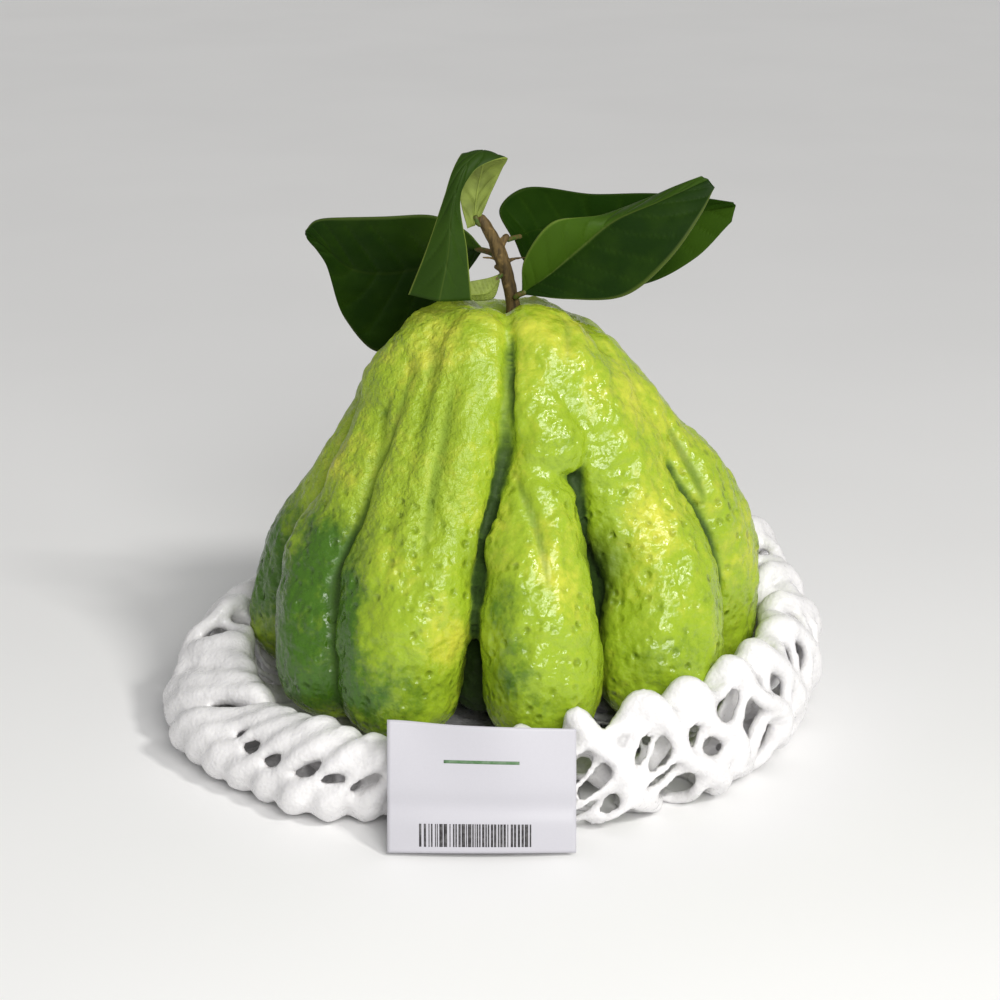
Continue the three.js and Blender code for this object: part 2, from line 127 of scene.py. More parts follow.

# Ripe and green places on the peel: turn, reach, height, spread and how much riper. The green places on
# the left fingers and beside creases are partly the peel's own colour and partly painted shade, and some
# riper places on the lit front and right partly stand for painted light.
RIPENESS_AND_PAINTED_LIGHT = (
    (-13, 70, 52, 9, 0.42), (-14, 74, 36, 13, -0.12), (-20, 64, 66, 13, 0.10), (48, 62, 84, 10, 0.28),
    (43, 66, 70, 14, 0.10), (13, 66, 76, 12, 0.22), (65, 46, 112, 18, 0.20), (30, 24, 132, 14, 0.18),
    (50, 26, 128, 15, 0.12), (-50, 28, 132, 16, 0.22), (-74, 50, 101, 18, 0.10), (-22, 44, 112, 12, 0.08),
    (82, 76, 66, 16, 0.14), (38, 76, 44, 12, -0.10), (-60, 80, 42, 20, -0.42), (-94, 80, 55, 28, -0.44),
    (-62, 76, 62, 15, -0.34), (-46, 72, 56, 13, -0.34), (-24, 79, 38, 10, -0.20), (-38, 78, 34, 12, -0.24),
    (-41, 71, 63, 8, -0.30), (-50, 80, 32, 15, -0.30), (-54, 66, 74, 9, -0.28), (-84, 76, 50, 17, -0.26),
    (-28, 78, 32, 9, -0.16), (-39, 79, 48, 9, -0.30), (-38, 80, 38, 9, -0.20), (-44, 68, 74, 7, -0.20),
    (-62, 66, 78, 9, -0.16), (-1, 69, 64, 9, -0.32), (0, 76, 46, 10, -0.32), (30, 62, 76, 9, -0.22),
    (28, 72, 52, 10, -0.18), (22, 50, 100, 7, -0.16), (-34, 46, 112, 7, -0.14), (-68, 62, 92, 12, 0.08),
    (150, 60, 70, 26, 0.18), (-150, 60, 60, 26, 0.12), (112, 74, 40, 20, 0.12), (180, 30, 115, 22, 0.20),
)
COMMON_RIPENESS = 0.52
# Size and seed of each noise on the peel: broad swellings, lumps, ridges, unevenness and ripeness. Then
# spacing and seed of the pits and domes, and the reach of a pit.
BROAD_NOISE, LUMP_NOISE, RIDGE_NOISE = (10.0, 3.1), (5.4, 8.7), (6.5, 12.4)
ROUGH_NOISE, RIPE_NOISE = (24, 1.9), (22, 7.7)
PIT_CELLS, DOME_CELLS, PIT_REACH = (4.7, 0.7), (4.6, 5.1), 2.0

# Bands of height over which the peel changes on the way up: it gets smoother, loses its pits and its
# pores, is flatter below the foot's band and has less painted shade in its creases above the last.
SMOOTH_BAND = (52, 104)
PITLESS_BAND = (78, 112)
PORELESS_BAND = (84, 116)
FOOT_BAND = (12, 36)
CREASE_SHADE_FADE_BAND = (92, 116)
# The dry, grainy patch at the upper left: its bands across and up, and how far back it goes.
DRY_ACROSS, DRY_BAND, DRY_BACK = (-20, 4), (62, 96), 20
# The hidden inside of the ring of fingers, darkened with painted shade: its bands of reach and of height.
PAINTED_SHADE_INSIDE_REACH, PAINTED_SHADE_INSIDE_BAND = (50, 62), (66, 84)
# The ridged right shoulder at the front: middle and spread across, middle and spread in height.
RIDGED_ACROSS, RIDGED_HEIGHT = (24, 24), (96, 20)

# ------------------------------------------------------------------ twig and leaves

# The twig up its line and its four spurs, a stub, two thorns and a stub: x, y, height, half thickness.
STEM = (
    (2.6, 0, 130, 3.4), (2.7, 0, 133, 2.5), (2.2, 0, 139, 2.1), (0.7, -0.2, 146.5, 2.1),
    (-1.8, -0.8, 154.5, 2.2), (-5, -1.8, 161.5, 1.9), (-8, -2.8, 166.4, 1.6),
)
SPURS = (
    ((1.4, -0.2, 146.5, 1.1), (-1, -0.3, 148.7, 0.8), (-3.4, -0.3, 150.1, 0.6)),
    ((-0.2, -0.4, 151.5, 0.7), (-4, -0.4, 152.6, 0.42), (-7.2, -0.6, 152.9, 0.30)),
    ((-0.2, -0.4, 151.5, 0.7), (3.6, -0.6, 152.6, 0.42), (6.8, -0.8, 152.9, 0.30)),
    ((-2.2, -0.8, 156, 1.5), (-0.4, 0.4, 158.2, 1.3), (1.0, 1.4, 159.6, 0.9)),
)
# Each leaf: its upper margin, midrib and lower margin from the stalk end to the tip, and its stalk.
LEAVES = {
    "leaf_left": {
        "upper": ((-7.6, 12.4, 153.2), (-12, 12.5, 158), (-22, 12, 163), (-37.5, 11, 163), (-50, 11, 162.6),
                  (-59.4, 11, 161.8), (-62.6, 11.2, 158.6)),
        "midrib": ((-7.4, 12.8, 152.4), (-14, 17, 150), (-24, 22, 145), (-37, 25, 141.5), (-49, 24, 143),
                   (-57.5, 16, 152.5), (-62.5, 11.6, 157.6)),
        "lower": ((-7.2, 13.2, 151.6), (-12, 21, 143), (-23, 34, 126), (-41.5, 42, 110.5),
                  (-52.5, 33, 124.5), (-57.5, 19, 147), (-62.3, 12.2, 156)),
        "stalk": ((-1.2, 4.0, 150.6, 1.0), (-4, 8.5, 152, 1.0), (-9.4, 14.2, 152.2, 0.9)),
    },
    "leaf_right_back": {
        "upper": ((2.2, 7, 157.6), (-1.6, 13, 165), (5.6, 18, 170.6), (27.5, 24, 167.5), (48.5, 27, 167),
                  (72.5, 25, 164.6)),
        "midrib": ((3.2, 7.6, 157), (10, 17, 157.5), (26, 25, 156.5), (43, 28, 156.5), (59, 28, 160),
                   (73.4, 25.4, 163.4)),
        "lower": ((3.4, 7.6, 156), (7, 14, 147), (22, 20, 139.5), (44, 22, 138.5), (61, 23, 147),
                  (72.2, 25, 158.4)),
        "stalk": ((0.6, 3.5, 157.4, 0.8), (2.0, 5.6, 157.4, 0.8), (5.0, 9.6, 157.2, 0.75)),
    },
    "leaf_right_front": {
        "upper": ((5.2, -4.6, 143.4), (5.8, -12, 155), (14, -17, 167.4), (30, -6, 167.4), (45, -7, 173.4),
                  (58.6, -12, 180.6)),
        "midrib": ((5.6, -4.8, 142.8), (13, -6, 148.4), (22.6, -8, 157.4), (32.5, -10, 166.4),
                   (45.5, -12, 172.6), (60.8, -12.4, 179.6)),
        "lower": ((5.9, -5, 142.2), (19, -12, 142.6), (36, -20, 145.8), (48.6, -22, 157), (58.8, -17, 170.6),
                  (62.6, -12.8, 177.2)),
        "stalk": ((2.8, -3.7, 140.6, 0.9), (3.9, -4.2, 141.8, 0.95), (6.6, -5.1, 143.2, 0.9)),
    },
    "leaf_curled": {
        "upper": ((-11.6, -3.2, 162.6), (-13.6, -3, 171), (-14.2, -3.5, 180.5), (-13, -8, 186.4),
                  (-15.6, -12.5, 182.5), (-18.6, -14, 173.5), (-24, -14.5, 158), (-29.4, -14, 144.6)),
        "midrib": ((-9.6, -3.4, 163.4), (-8.6, -2, 173), (-6.8, -2.4, 182), (-6.6, -8, 187.6),
                   (-11.6, -13.4, 184.2), (-15.6, -16.4, 172.5), (-17.2, -18, 157.5), (-20.0, -18.5, 143.6)),
        "lower": ((-8.2, -3.2, 164.4), (-4.4, -3, 173.5), (-1, -4, 181), (0.4, -8.6, 185.2),
                  (-8.6, -13.2, 183.0), (-13.4, -14.4, 175.5), (-11.6, -15.8, 159), (-10.2, -15.5, 143.2)),
        "stalk": ((-7.2, -2.9, 163.4, 0.9), (-8.5, -3.2, 164.6, 0.9), (-9.2, -3.0, 166.8, 0.8)),
    },
    "leaf_small": {
        "upper": ((-2.0, -3.6, 148.2), (-5.5, -5.6, 147.6), (-11.2, -7.6, 147.0)),
        "midrib": ((-1.9, -3.9, 147.1), (-5.6, -7.4, 143.6), (-11.4, -9.4, 143.4)),
        "lower": ((-1.7, -3.7, 146.2), (-3.8, -6, 141.4), (-9.6, -7.6, 141)),
        "stalk": ((-0.8, -3.0, 148.4, 0.7), (-1.8, -3.6, 147.6, 0.75), (-3.4, -4.6, 146.4, 0.6)),
    },
}
# Each blade: rows along and across, unevenness, how light, how pale its midrib and its rim are, how
# shiny it is, and whether its upper face looks the other way.
BLADES = {
    "leaf_left": (72, 40, 1.0, 0.9, 0.03, 0.15, 0.10, False),
    "leaf_right_back": (72, 36, 1.0, 0.50, 0.02, 0.05, 0.02, True),
    "leaf_right_front": (72, 36, 0.7, 1.0, 0.16, 0.30, 0.10, True),
    "leaf_curled": (90, 32, 0.4, 0.6, 0.10, 0.90, 0.12, False),
    "leaf_small": (30, 16, 0.2, 1.0, 0.2, 0.5, 0.2, True),
}
BLADE_THICK = 0.55
# Side veins: how many, their width as a share of the gap between two, and how far they run forward.
VEIN_PAIRS, VEIN_WIDTH, VEIN_FORWARD = 9, 0.085, 1.35
RIB_WIDTH, RIB_DEPTH, PILLOW_RISE = 0.035, 0.30, 0.18
# The side that the seams of the twig, its spurs and the leaf stalks are turned to.
TWIG_FACING = (0.15, -1, 0.1)
TWIG_CELL = 0.28

# ------------------------------------------------------------------ the net and the label

# Round the sleeve: turn, belly reach, belly height, crest reach, crest height.
NET_TURNS = (
    (0, 90.2, 11, 84.6, 33), (30, 96.5, 13, 86.5, 37), (60, 100, 19, 87.5, 40), (90, 103.5, 28, 88.5, 41),
    (120, 104.5, 32, 91, 54), (150, 103, 28, 90, 53), (180, 101, 20, 88, 44), (210, 102, 14, 87, 31),
    (240, 104, 11, 89, 30), (270, 106.5, 11, 88.5, 34.5), (300, 111.5, 9, 86.5, 26),
    (330, 105.5, 9, 85.5, 28.5),
)
# Cells round the sleeve, reach of its inside, height of its floor, reach of the gathered hole in it.
NET_CELLS = 30
NET_LINING = 82.9
NET_FLOOR = 13.0
NET_GATHER = 9.0
# Where the strands are pushed together: turn, spread, how much, and their slant over the wall.
BUNCHES = ((-41, 52, 1.0, -19), (98, 50, 0.4, 8))
# Where neighbouring ropes part in a slit: turn, distance down from the crest, how much the ropes narrow.
SLITS = (
    (-66, 5, 0.2), (-56, 8.5, 0.5), (-48, 14, 0.64), (-42, 17, 0.68), (-33, 17, 0.68), (-26, 15, 0.76),
    (-12, 14.5, 0.76),
)
# Lengths along a strand: how far a slit reaches up and down, the swelling at the rim, the one at the
# belly, and the run of wall over which a slant builds up.
SLIT_UP, SLIT_DOWN = 8, 5.5
RIM_SWELLING, BELLY_SWELLING, WALL_RUN = 4.5, 7, 36
# Which row of a strand's profile is the belly, and the least height of the foam over the ground.
BELLY_ROW, NET_FOOT = 5, 0.02
# The strands of one cell: place in it, thickness, slant over the wall, lift at the crest, extra reach.
STRANDS = {
    "rib": (0.25, 1.00, 16, 3.4, 1.6),
    "web": (0.75, 0.52, -25, -2.4, -1.6),
    "cross": (0.25, 0.50, -24, -3.8, -4.2),
}

# The label's size, its lean in degrees and where its left edge, its front and its foot are.
LABEL_WIDTH, LABEL_HEIGHT = 54.6, 37.0
LABEL_LEAN, LABEL_LEFT, LABEL_FRONT, LABEL_FOOT = 21.0, -34.2, -102.8, 2.0
# How far the paper's face is in front of that place, how thick paper and ink are, how far ink stands out.
LABEL_OUT, SHEET_THICK, INK_LIFT = 0.35, 0.06, 0.05
# How the paper bends: bow, twist, ripple and droop, the fold across it and how its foot tucks in. Places
# and widths are shares of its height, and its upper corners curl above the last of them.
LABEL_BOW, LABEL_TWIST, LABEL_RIPPLE, LABEL_DROOP = 1.6, 0.8, 0.35, 1.2
FOLD_RISE, FOLD_PLACE, FOLD_WIDTH = 1.8, 0.36, 0.09
TUCK_RISE, TUCK_BELOW = 2.8, 0.34
CORNER_ABOVE = 0.9
# The print, in shares of the label's width and height: bars from the left, and one rule.
BARS_LEFT, BARS_LOW, BARS_HIGH = 0.17, 0.05, 0.23
BAR_WIDTHS, BAR_GAPS = (0.005, 0.008, 0.012, 0.018), (0.005, 0.008, 0.013)
RULE_LEFT, RULE_RIGHT, RULE_LOW, RULE_HIGH = 0.30, 0.70, 0.70, 0.725
BAR_INK, RULE_INK = (0.02, 0.018, 0.02), (0.07, 0.17, 0.06)

# ------------------------------------------------------------------ camera and lights

VIEW_TARGET = (-1.6, 0.0, 73.0)
VIEW_DISTANCE = 700.0
VIEW_ELEVATION = 20.0
VIEW_LENS = 78.4
SKY_STRENGTH = 0.33
SUN_STRENGTH, SUN_SPREAD, SUN_FROM, SUN_COLOUR = 1.25, 8, (0.62, -0.52, 0.74), (1, 0.985, 0.955)
# A window light in front, in metres: place, what it is turned to, edge, and its power and colour.
WINDOW_PLACE, WINDOW_TARGET, WINDOW_EDGE = (0.16, -0.66, 0.48), (0, 0, 0.07), 0.34
WINDOW_POWER, WINDOW_COLOUR = 3.8, (1, 0.99, 0.97)
# The floor in metres: half width, reach to the front and back, the sweep's radius and the wall's height.
FLOOR_WIDTH, FLOOR_FRONT, FLOOR_BACK, FLOOR_SWEEP, FLOOR_WALL = 12.0, 6.0, 20.0, 2.0, 12.0
FLOOR_PAINT, FLOOR_TINT = (0.90, 0.90, 0.90), (0.88, 0.88, 0.88)


# ================================================================== settings a user can change


class CitronFruitSettings(PropertyGroup):
    skin_cell: FloatProperty(name="Skin Cell", description="Edge of one face of the peel",
                             default=1.16 * MM, unit="LENGTH", subtype="DISTANCE")
    swelling: FloatProperty(name="Swelling", description="Height of the broad bumps on the peel",
                            default=1.1 * MM, unit="LENGTH", subtype="DISTANCE")
    lump: FloatProperty(name="Lump", description="Height of the small lumps between the oil glands",
                        default=0.70 * MM, unit="LENGTH", subtype="DISTANCE")
    dimple: FloatProperty(name="Dimple", description="Depth of the larger pits in the peel",
                          default=0.9 * MM, unit="LENGTH", subtype="DISTANCE")
    crease: FloatProperty(name="Crease", description="How much deeper the creases between fingers are cut",
                          default=1.9, min=0, max=4)
    green: FloatVectorProperty(name="Green", description="Colour of the peel where it is still green",
                               default=(0.054, 0.140, 0.009), size=3, subtype="COLOR", min=0, max=1)
    lime: FloatVectorProperty(name="Lime", description="Colour of most of the peel",
                              default=(0.305, 0.435, 0.022), size=3, subtype="COLOR", min=0, max=1)
    yellow: FloatVectorProperty(name="Yellow", description="Colour of the peel where it has ripened",
                                default=(0.60, 0.61, 0.060), size=3, subtype="COLOR", min=0, max=1)
    # Painted shade: this colour darkens the peel's pits, pores, creases and the hidden inside of the ring of
    # fingers.
    painted_shade: FloatVectorProperty(name="Deep Green", description="Colour in the pits and creases",
                               default=(0.040, 0.098, 0.005), size=3, subtype="COLOR", min=0, max=1)


class CitronLeafSettings(PropertyGroup):
    vein: FloatProperty(name="Vein Depth", description="How far a side vein sinks into the blade",
                        default=0.12 * MM, unit="LENGTH", subtype="DISTANCE")
    face: FloatVectorProperty(name="Leaf Green", description="Colour of a grown leaf's upper face",
                              default=(0.0080, 0.026, 0.0018), size=3, subtype="COLOR", min=0, max=1)
    # This colour also serves as painted light on the lit upper half of the front leaf.
    light: FloatVectorProperty(name="Leaf Light", description="Colour of the paler patches of a leaf",
                               default=(0.043, 0.094, 0.006), size=3, subtype="COLOR", min=0, max=1)
    underside: FloatVectorProperty(name="Underside", description="Colour of a leaf's underside and rim",
                                   default=(0.22, 0.28, 0.05), size=3, subtype="COLOR", min=0, max=1)
    bark: FloatVectorProperty(name="Bark", description="Colour of the twig",
                              default=(0.125, 0.082, 0.027), size=3, subtype="COLOR", min=0, max=1)


class CitronNetSettings(PropertyGroup):
    strand: FloatProperty(name="Strand", description="Half thickness of one foam strand",
                          default=3.0 * MM, unit="LENGTH", subtype="DISTANCE")
    bunched: FloatProperty(name="Bunched Strand",
                           description="Half thickness where strands are pushed together",
                           default=4.7 * MM, unit="LENGTH", subtype="DISTANCE")
    cell: FloatProperty(name="Foam Cell", description="Edge of one face of the net",
                        default=1.5 * MM, unit="LENGTH", subtype="DISTANCE")
    foam: FloatVectorProperty(name="Foam", description="Colour of the foam",
                              default=(0.84, 0.829, 0.834), size=3, subtype="COLOR", min=0, max=1)
    paper: FloatVectorProperty(name="Paper", description="Colour of the label",
                               default=(0.53, 0.523, 0.565), size=3, subtype="COLOR", min=0, max=1)
    bars: IntProperty(name="Bars", description="Number of bars printed on the label",
                      default=34, min=1, max=40)


# ================================================================== shared forms


def around(turn, reach, height):
    """A point at a turn from the front, a reach from the axis and a height."""
    angle = math.radians(turn)
    return np.array((reach * math.sin(angle), -reach * math.cos(angle), height))


def half_turn(turn):
    """The same turn counted from -180 to 180 degrees."""
    return (turn + 180) % 360 - 180


def smooth_line(points, places):
    """Points on a smooth line through points, at places counted in points from its start."""
    points = np.asarray(points, float)
    last = len(points) - 1
    padded = np.vstack((2 * points[0] - points[1], points, 2 * points[-1] - points[-2]))
    places = np.clip(np.asarray(places, float), 0, last)
    low = np.minimum(places.astype(int), last - 1)
    share = (places - low)[:, None]
    before, start, end, after = (padded[low + step] for step in range(4))
    gaps = [np.sqrt(np.linalg.norm(b - a, axis=1))[:, None] + 1e-9
            for a, b in ((before, start), (start, end), (end, after))]
    leave = ((start - before) / gaps[0] - (end - before) / (gaps[0] + gaps[1])
             + (end - start) / gaps[1]) * gaps[1]
    arrive = ((end - start) / gaps[1] - (after - start) / (gaps[1] + gaps[2])
              + (after - end) / gaps[2]) * gaps[1]
    return (start + leave * share + (3 * (end - start) - 2 * leave - arrive) * share ** 2
            + (2 * (start - end) + leave + arrive) * share ** 3)


def between(values, places):
    """Values eased between the stations' own at places along them."""
    values = np.asarray(values, float)
    low = np.clip(places.astype(int), 0, len(values) - 2)
    share = np.clip(places - low, 0, 1)
    share = share * share * (3 - 2 * share)
    return values[low] + (values[low + 1] - values[low]) * share


def ease(value, low, high):
    """0 below low, 1 above high and smooth between them."""
    share = np.clip((value - low) / (high - low), 0, 1)
    return share * share * (3 - 2 * share)


# A tube's seam starts beside this direction, which no strand starts along.
FREE_SEAM = (0.31, 0.2, 0.93)


class Form:
    """Points and faces of one mesh, gathered piece by piece, in millimetres."""

    def __init__(self):
        self.points, self.faces, self.count = [], [], 0

    def add(self, points, faces):
        self.faces.extend(tuple(corner + self.count for corner in face) for face in faces)
        self.points.append(np.asarray(points, float))
        self.count += len(points)

    def object(self, name):
        return mesh_object(name, np.vstack(self.points) * MM, self.faces)


def mesh_object(name, points, faces):
    mesh = bpy.data.meshes.new(name)
    mesh.from_pydata([tuple(point) for point in points], [], faces)
    mesh.update()
    made = bpy.data.objects.new(name, mesh)
    bpy.context.scene.collection.objects.link(made)
    return made


def ring_faces(rings, sides):
    """Faces of a tube of rings, with its first and last points as its two ends."""
    faces = [(0, 1 + (side + 1) % sides, 1 + side) for side in range(sides)]
    for ring in range(rings - 1):
        start = 1 + ring * sides
        for side in range(sides):
            step = (side + 1) % sides
            faces.append((start + side, start + step, start + sides + step, start + sides + side))
    start, end = 1 + (rings - 1) * sides, 1 + rings * sides
    faces += [(start + side, start + (side + 1) % sides, end) for side in range(sides)]
    return faces


def tube(form, line, radii, sides, facing=None):
    """Adds a round tube along a line, closed at both ends, its seam turned to a side or left free."""
    line = np.asarray(line, float)
    tangents = np.gradient(line, axis=0)
    tangents /= np.linalg.norm(tangents, axis=1)[:, None] + 1e-12
    side = np.cross(FREE_SEAM if facing is None else facing, tangents[0])
    sides_line = []
    for tangent in tangents:
        if facing is not None:
            side = np.cross(facing, tangent)
        side = side - tangent * side.dot(tangent)
        side /= np.linalg.norm(side) + 1e-12
        sides_line.append(side)
    sides_line = np.array(sides_line)
    outs = np.cross(tangents, sides_line)
    angles = np.linspace(0, 2 * math.pi, sides, endpoint=False)
    rings = (line[1:-1, None, :] + np.asarray(radii)[1:-1, None, None]
             * (np.cos(angles)[None, :, None] * sides_line[1:-1, None, :]
                + np.sin(angles)[None, :, None] * outs[1:-1, None, :]))
    points = np.vstack((line[:1], rings.reshape(-1, 3), line[-1:]))
    form.add(points, ring_faces(len(line) - 2, sides))


def lengths_along(line):
    """How far each point of a line is from its start, along the line."""
    return np.concatenate(([0], np.cumsum(np.linalg.norm(np.diff(line, axis=0), axis=1))))


def limb(form, stations, facing, sides=36, rows=48):
    """Adds a rounded limb through stations of x, y, z and half thickness."""
    stations = np.asarray(stations, float)
    dense = np.linspace(0, len(stations) - 1, 400)
    lengths = lengths_along(smooth_line(stations[:, :3], dense))
    along = (1 - np.cos(np.linspace(0, math.pi, rows + 1))) / 2
    places = np.interp(along * lengths[-1], lengths, dense)
    girth = between(stations[:, 3], places)
    cap = np.minimum(1, np.minimum(along, 1 - along) * lengths[-1] / girth)
    radii = girth * (1 - (1 - cap) ** 2.3) ** 0.47
    tube(form, smooth_line(stations[:, :3], places), radii, sides, facing)


def apply_modifier(made, kind, **settings):
    """Adds a modifier to an object and keeps only its result."""
    added = made.modifiers.new(kind.title(), kind)
    for key, value in settings.items():
        setattr(added, key, value)
    shaped = made.evaluated_get(bpy.context.evaluated_depsgraph_get())
    mesh = bpy.data.meshes.new_from_object(shaped)
    made.modifiers.clear()
    old, made.data = made.data, mesh
    mesh.name = made.name
    bpy.data.meshes.remove(old)


def remesh(made, cell):
    """Joins what a piece is made of into one closed skin with faces of one size."""
    apply_modifier(made, "REMESH", mode="VOXEL", voxel_size=cell)


def points_of(mesh):
    points = np.empty(len(mesh.vertices) * 3)
    mesh.vertices.foreach_get("co", points)
    return points.reshape(-1, 3)


def normals_of(mesh):
    normals = np.empty(len(mesh.vertices) * 3)
    mesh.vertex_normals.foreach_get("vector", normals)
    return normals.reshape(-1, 3)


def edges_of(mesh):
    edges = np.empty(len(mesh.edges) * 2, int)
    mesh.edges.foreach_get("vertices", edges)
    return edges.reshape(-1, 2)


def move_points(mesh, points):
    mesh.vertices.foreach_set("co", points.ravel())
    mesh.update()


def raised(mesh, points, rise):
    """Moves a mesh's points out along their normals by a rise, in millimetres, and gives them back."""
    points = points + normals_of(mesh) * rise[:, None]
    move_points(mesh, points * MM)
    return points


def relaxed(values, edges, weight, rounds):
    """Values on points after each has moved towards the mean of its neighbours, rounds times."""
    values = np.array(values, float)
    flat = values.ndim == 1
    values = values[:, None] if flat else values
    count = np.bincount(edges.ravel(), minlength=len(values))[:, None]
    weight = weight[:, None] if isinstance(weight, np.ndarray) else weight
    for _ in range(rounds):
        total = np.column_stack([
            np.bincount(edges[:, 0], axis[edges[:, 1]], len(values))
            + np.bincount(edges[:, 1], axis[edges[:, 0]], len(values)) for axis in values.T])
        values += weight * (total / np.maximum(count, 1) - values)
    return values[:, 0] if flat else values


def smoothed(points, edges, weight, rounds):
    """Points smoothed without shrinking: each round eases them in and a little more back out."""
    for _ in range(rounds):
        points = relaxed(points, edges, 0.5 * weight, 1)
        points = relaxed(points, edges, -0.52 * weight, 1)
    return points


def keep_value(mesh, name, values):
    """Stores one number a point for the materials to read."""
    layer = mesh.attributes.new(name, "FLOAT", "POINT")
    layer.data.foreach_set("value", np.asarray(values, np.float32))


def shade_smooth(mesh):
    mesh.polygons.foreach_set("use_smooth", [True] * len(mesh.polygons))


def noise_at(points, size, seed):
    """Noise with lumps of about size at points, both in millimetres."""
    return np.array([noise.noise(Vector((x / size + seed, y / size - seed, z / size + seed * 0.5)))
                     for x, y, z in points])


def cells_at(points, spacing, seed):
    """For each point, how far the nearest of scattered middles are, in spacings, and where they are."""
    return [noise.voronoi(Vector((x / spacing + seed, y / spacing, z / spacing - seed)))
            for x, y, z in points]


def pits_at(points, spacing, seed, reach):
    """Pits about spacing apart, of uneven depth: up to 1 in the middle and 0 at reach from it."""
    unlike = 3.7
    depth = np.array([
        max(0.0, 1 - far[0] * spacing / reach) * max(0.0, 0.5 + noise.noise(middles[0] * unlike))
        for far, middles in cells_at(points, spacing, seed)])
    return depth * depth * (3 - 2 * depth)


def domes_at(points, spacing, seed):
    """Domes about spacing wide that meet in valleys: 0 in a valley and 1 on top."""
    steepness = 1.8
    dome = np.array([min(1.0, (far[1] - far[0]) * steepness)
                     for far, _ in cells_at(points, spacing, seed)])
    return dome * (2 - dome)


def dress(made, material, slot, *nodes):
    """Gives a piece its material and body and hides the imported nodes it stands for; the slot is not used.
    """
    made.data.materials.append(material)
    shade_smooth(made.data)
    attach(made, BODY)
    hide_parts(*nodes)


# ================================================================== materials


def toned(colour, share):
    """A colour made darker or lighter by a share."""
    return tuple(channel * share for channel in colour)


class Recipe:
    """A short way to lay out a material's nodes."""

    def __init__(self, name):
        self.material = bpy.data.materials.new(name)
        self.material.use_nodes = True
        self.tree = self.material.node_tree
        self.shader = self.tree.nodes["Principled BSDF"]

    def node(self, kind, inputs=None, **settings):
        made = self.tree.nodes.new(kind)
        for key, value in settings.items():
            setattr(made, key, value)
        for key, value in (inputs or {}).items():
            self.feed(made.inputs[key], value)
        return made

    def feed(self, socket, value):
        if isinstance(value, bpy.types.NodeSocket):
            self.tree.links.new(value, socket)
        elif hasattr(value, "__len__") and len(value) == 3 and socket.type == "RGBA":
            socket.default_value = (*value, 1)
        else:
            socket.default_value = value

    def place(self):
        """Where on the object a point is, in metres, the same from every side."""
        return self.node("ShaderNodeTexCoord").outputs["Object"]

    def value(self, name):
        return self.node("ShaderNodeAttribute", attribute_name=name).outputs["Fac"]

    def noise(self, size, detail=3.0, roughness=0.55, place=None):
        return self.node("ShaderNodeTexNoise", {
            "Vector": place or self.place(), "Scale": 1 / size, "Detail": detail,
            "Roughness": roughness}).outputs["Fac"]

    def cells(self, size, feature="F1"):
        return self.node("ShaderNodeTexVoronoi", {"Vector": self.place(), "Scale": 1 / size},
                         feature=feature).outputs["Distance"]

    def spots(self, size, reach, missing):
        """Round spots about size apart that fade out at a reach; a share of them is missing."""
        cell = self.node("ShaderNodeTexVoronoi", {"Vector": self.place(), "Scale": 1 / size}, feature="F1")
        chance = self.node("ShaderNodeSeparateColor", {"Color": cell.outputs["Color"]}).outputs[0]
        spot = self.ramp(cell.outputs["Distance"], reach * 0.1 / size, reach / size, 1.0, 0.0)
        return self.times(spot, self.ramp(chance, missing - 0.1, missing + 0.4))

    def math(self, operation, first, second=0.0, clamp=False):
        return self.node("ShaderNodeMath", {0: first, 1: second}, operation=operation,
                         use_clamp=clamp).outputs[0]

    def times(self, first, second):
        return self.math("MULTIPLY", first, second)

    def plus(self, first, second, clamp=False):
        return self.math("ADD", first, second, clamp)

    def ramp(self, value, low, high, start=0.0, end=1.0):
        """A value eased from start to end as it goes from low to high."""
        return self.node("ShaderNodeMapRange", {
            "Value": value, "From Min": low, "From Max": high, "To Min": start, "To Max": end},
            interpolation_type="SMOOTHSTEP").outputs["Result"]

    def mix(self, share, first, second):
        """A colour that goes from the first to the second as the share goes from 0 to 1."""
        made = self.node("ShaderNodeMix", data_type="RGBA")
        self.feed(made.inputs[0], share)
        self.feed(made.inputs[6], first)
        self.feed(made.inputs[7], second)
        return made.outputs[2]

    def bump(self, height, distance, strength, below=None):
        inputs = {"Height": height, "Distance": distance, "Strength": strength}
        if below is not None:
            inputs["Normal"] = below
        return self.node("ShaderNodeBump", inputs).outputs["Normal"]

    def finish(self, **sockets):
        """The material, with the shader's sockets fed by name: an underscore stands for a space."""
        for key, value in sockets.items():
            self.feed(self.shader.inputs[key.replace("_", " ")], value)
        return self.material


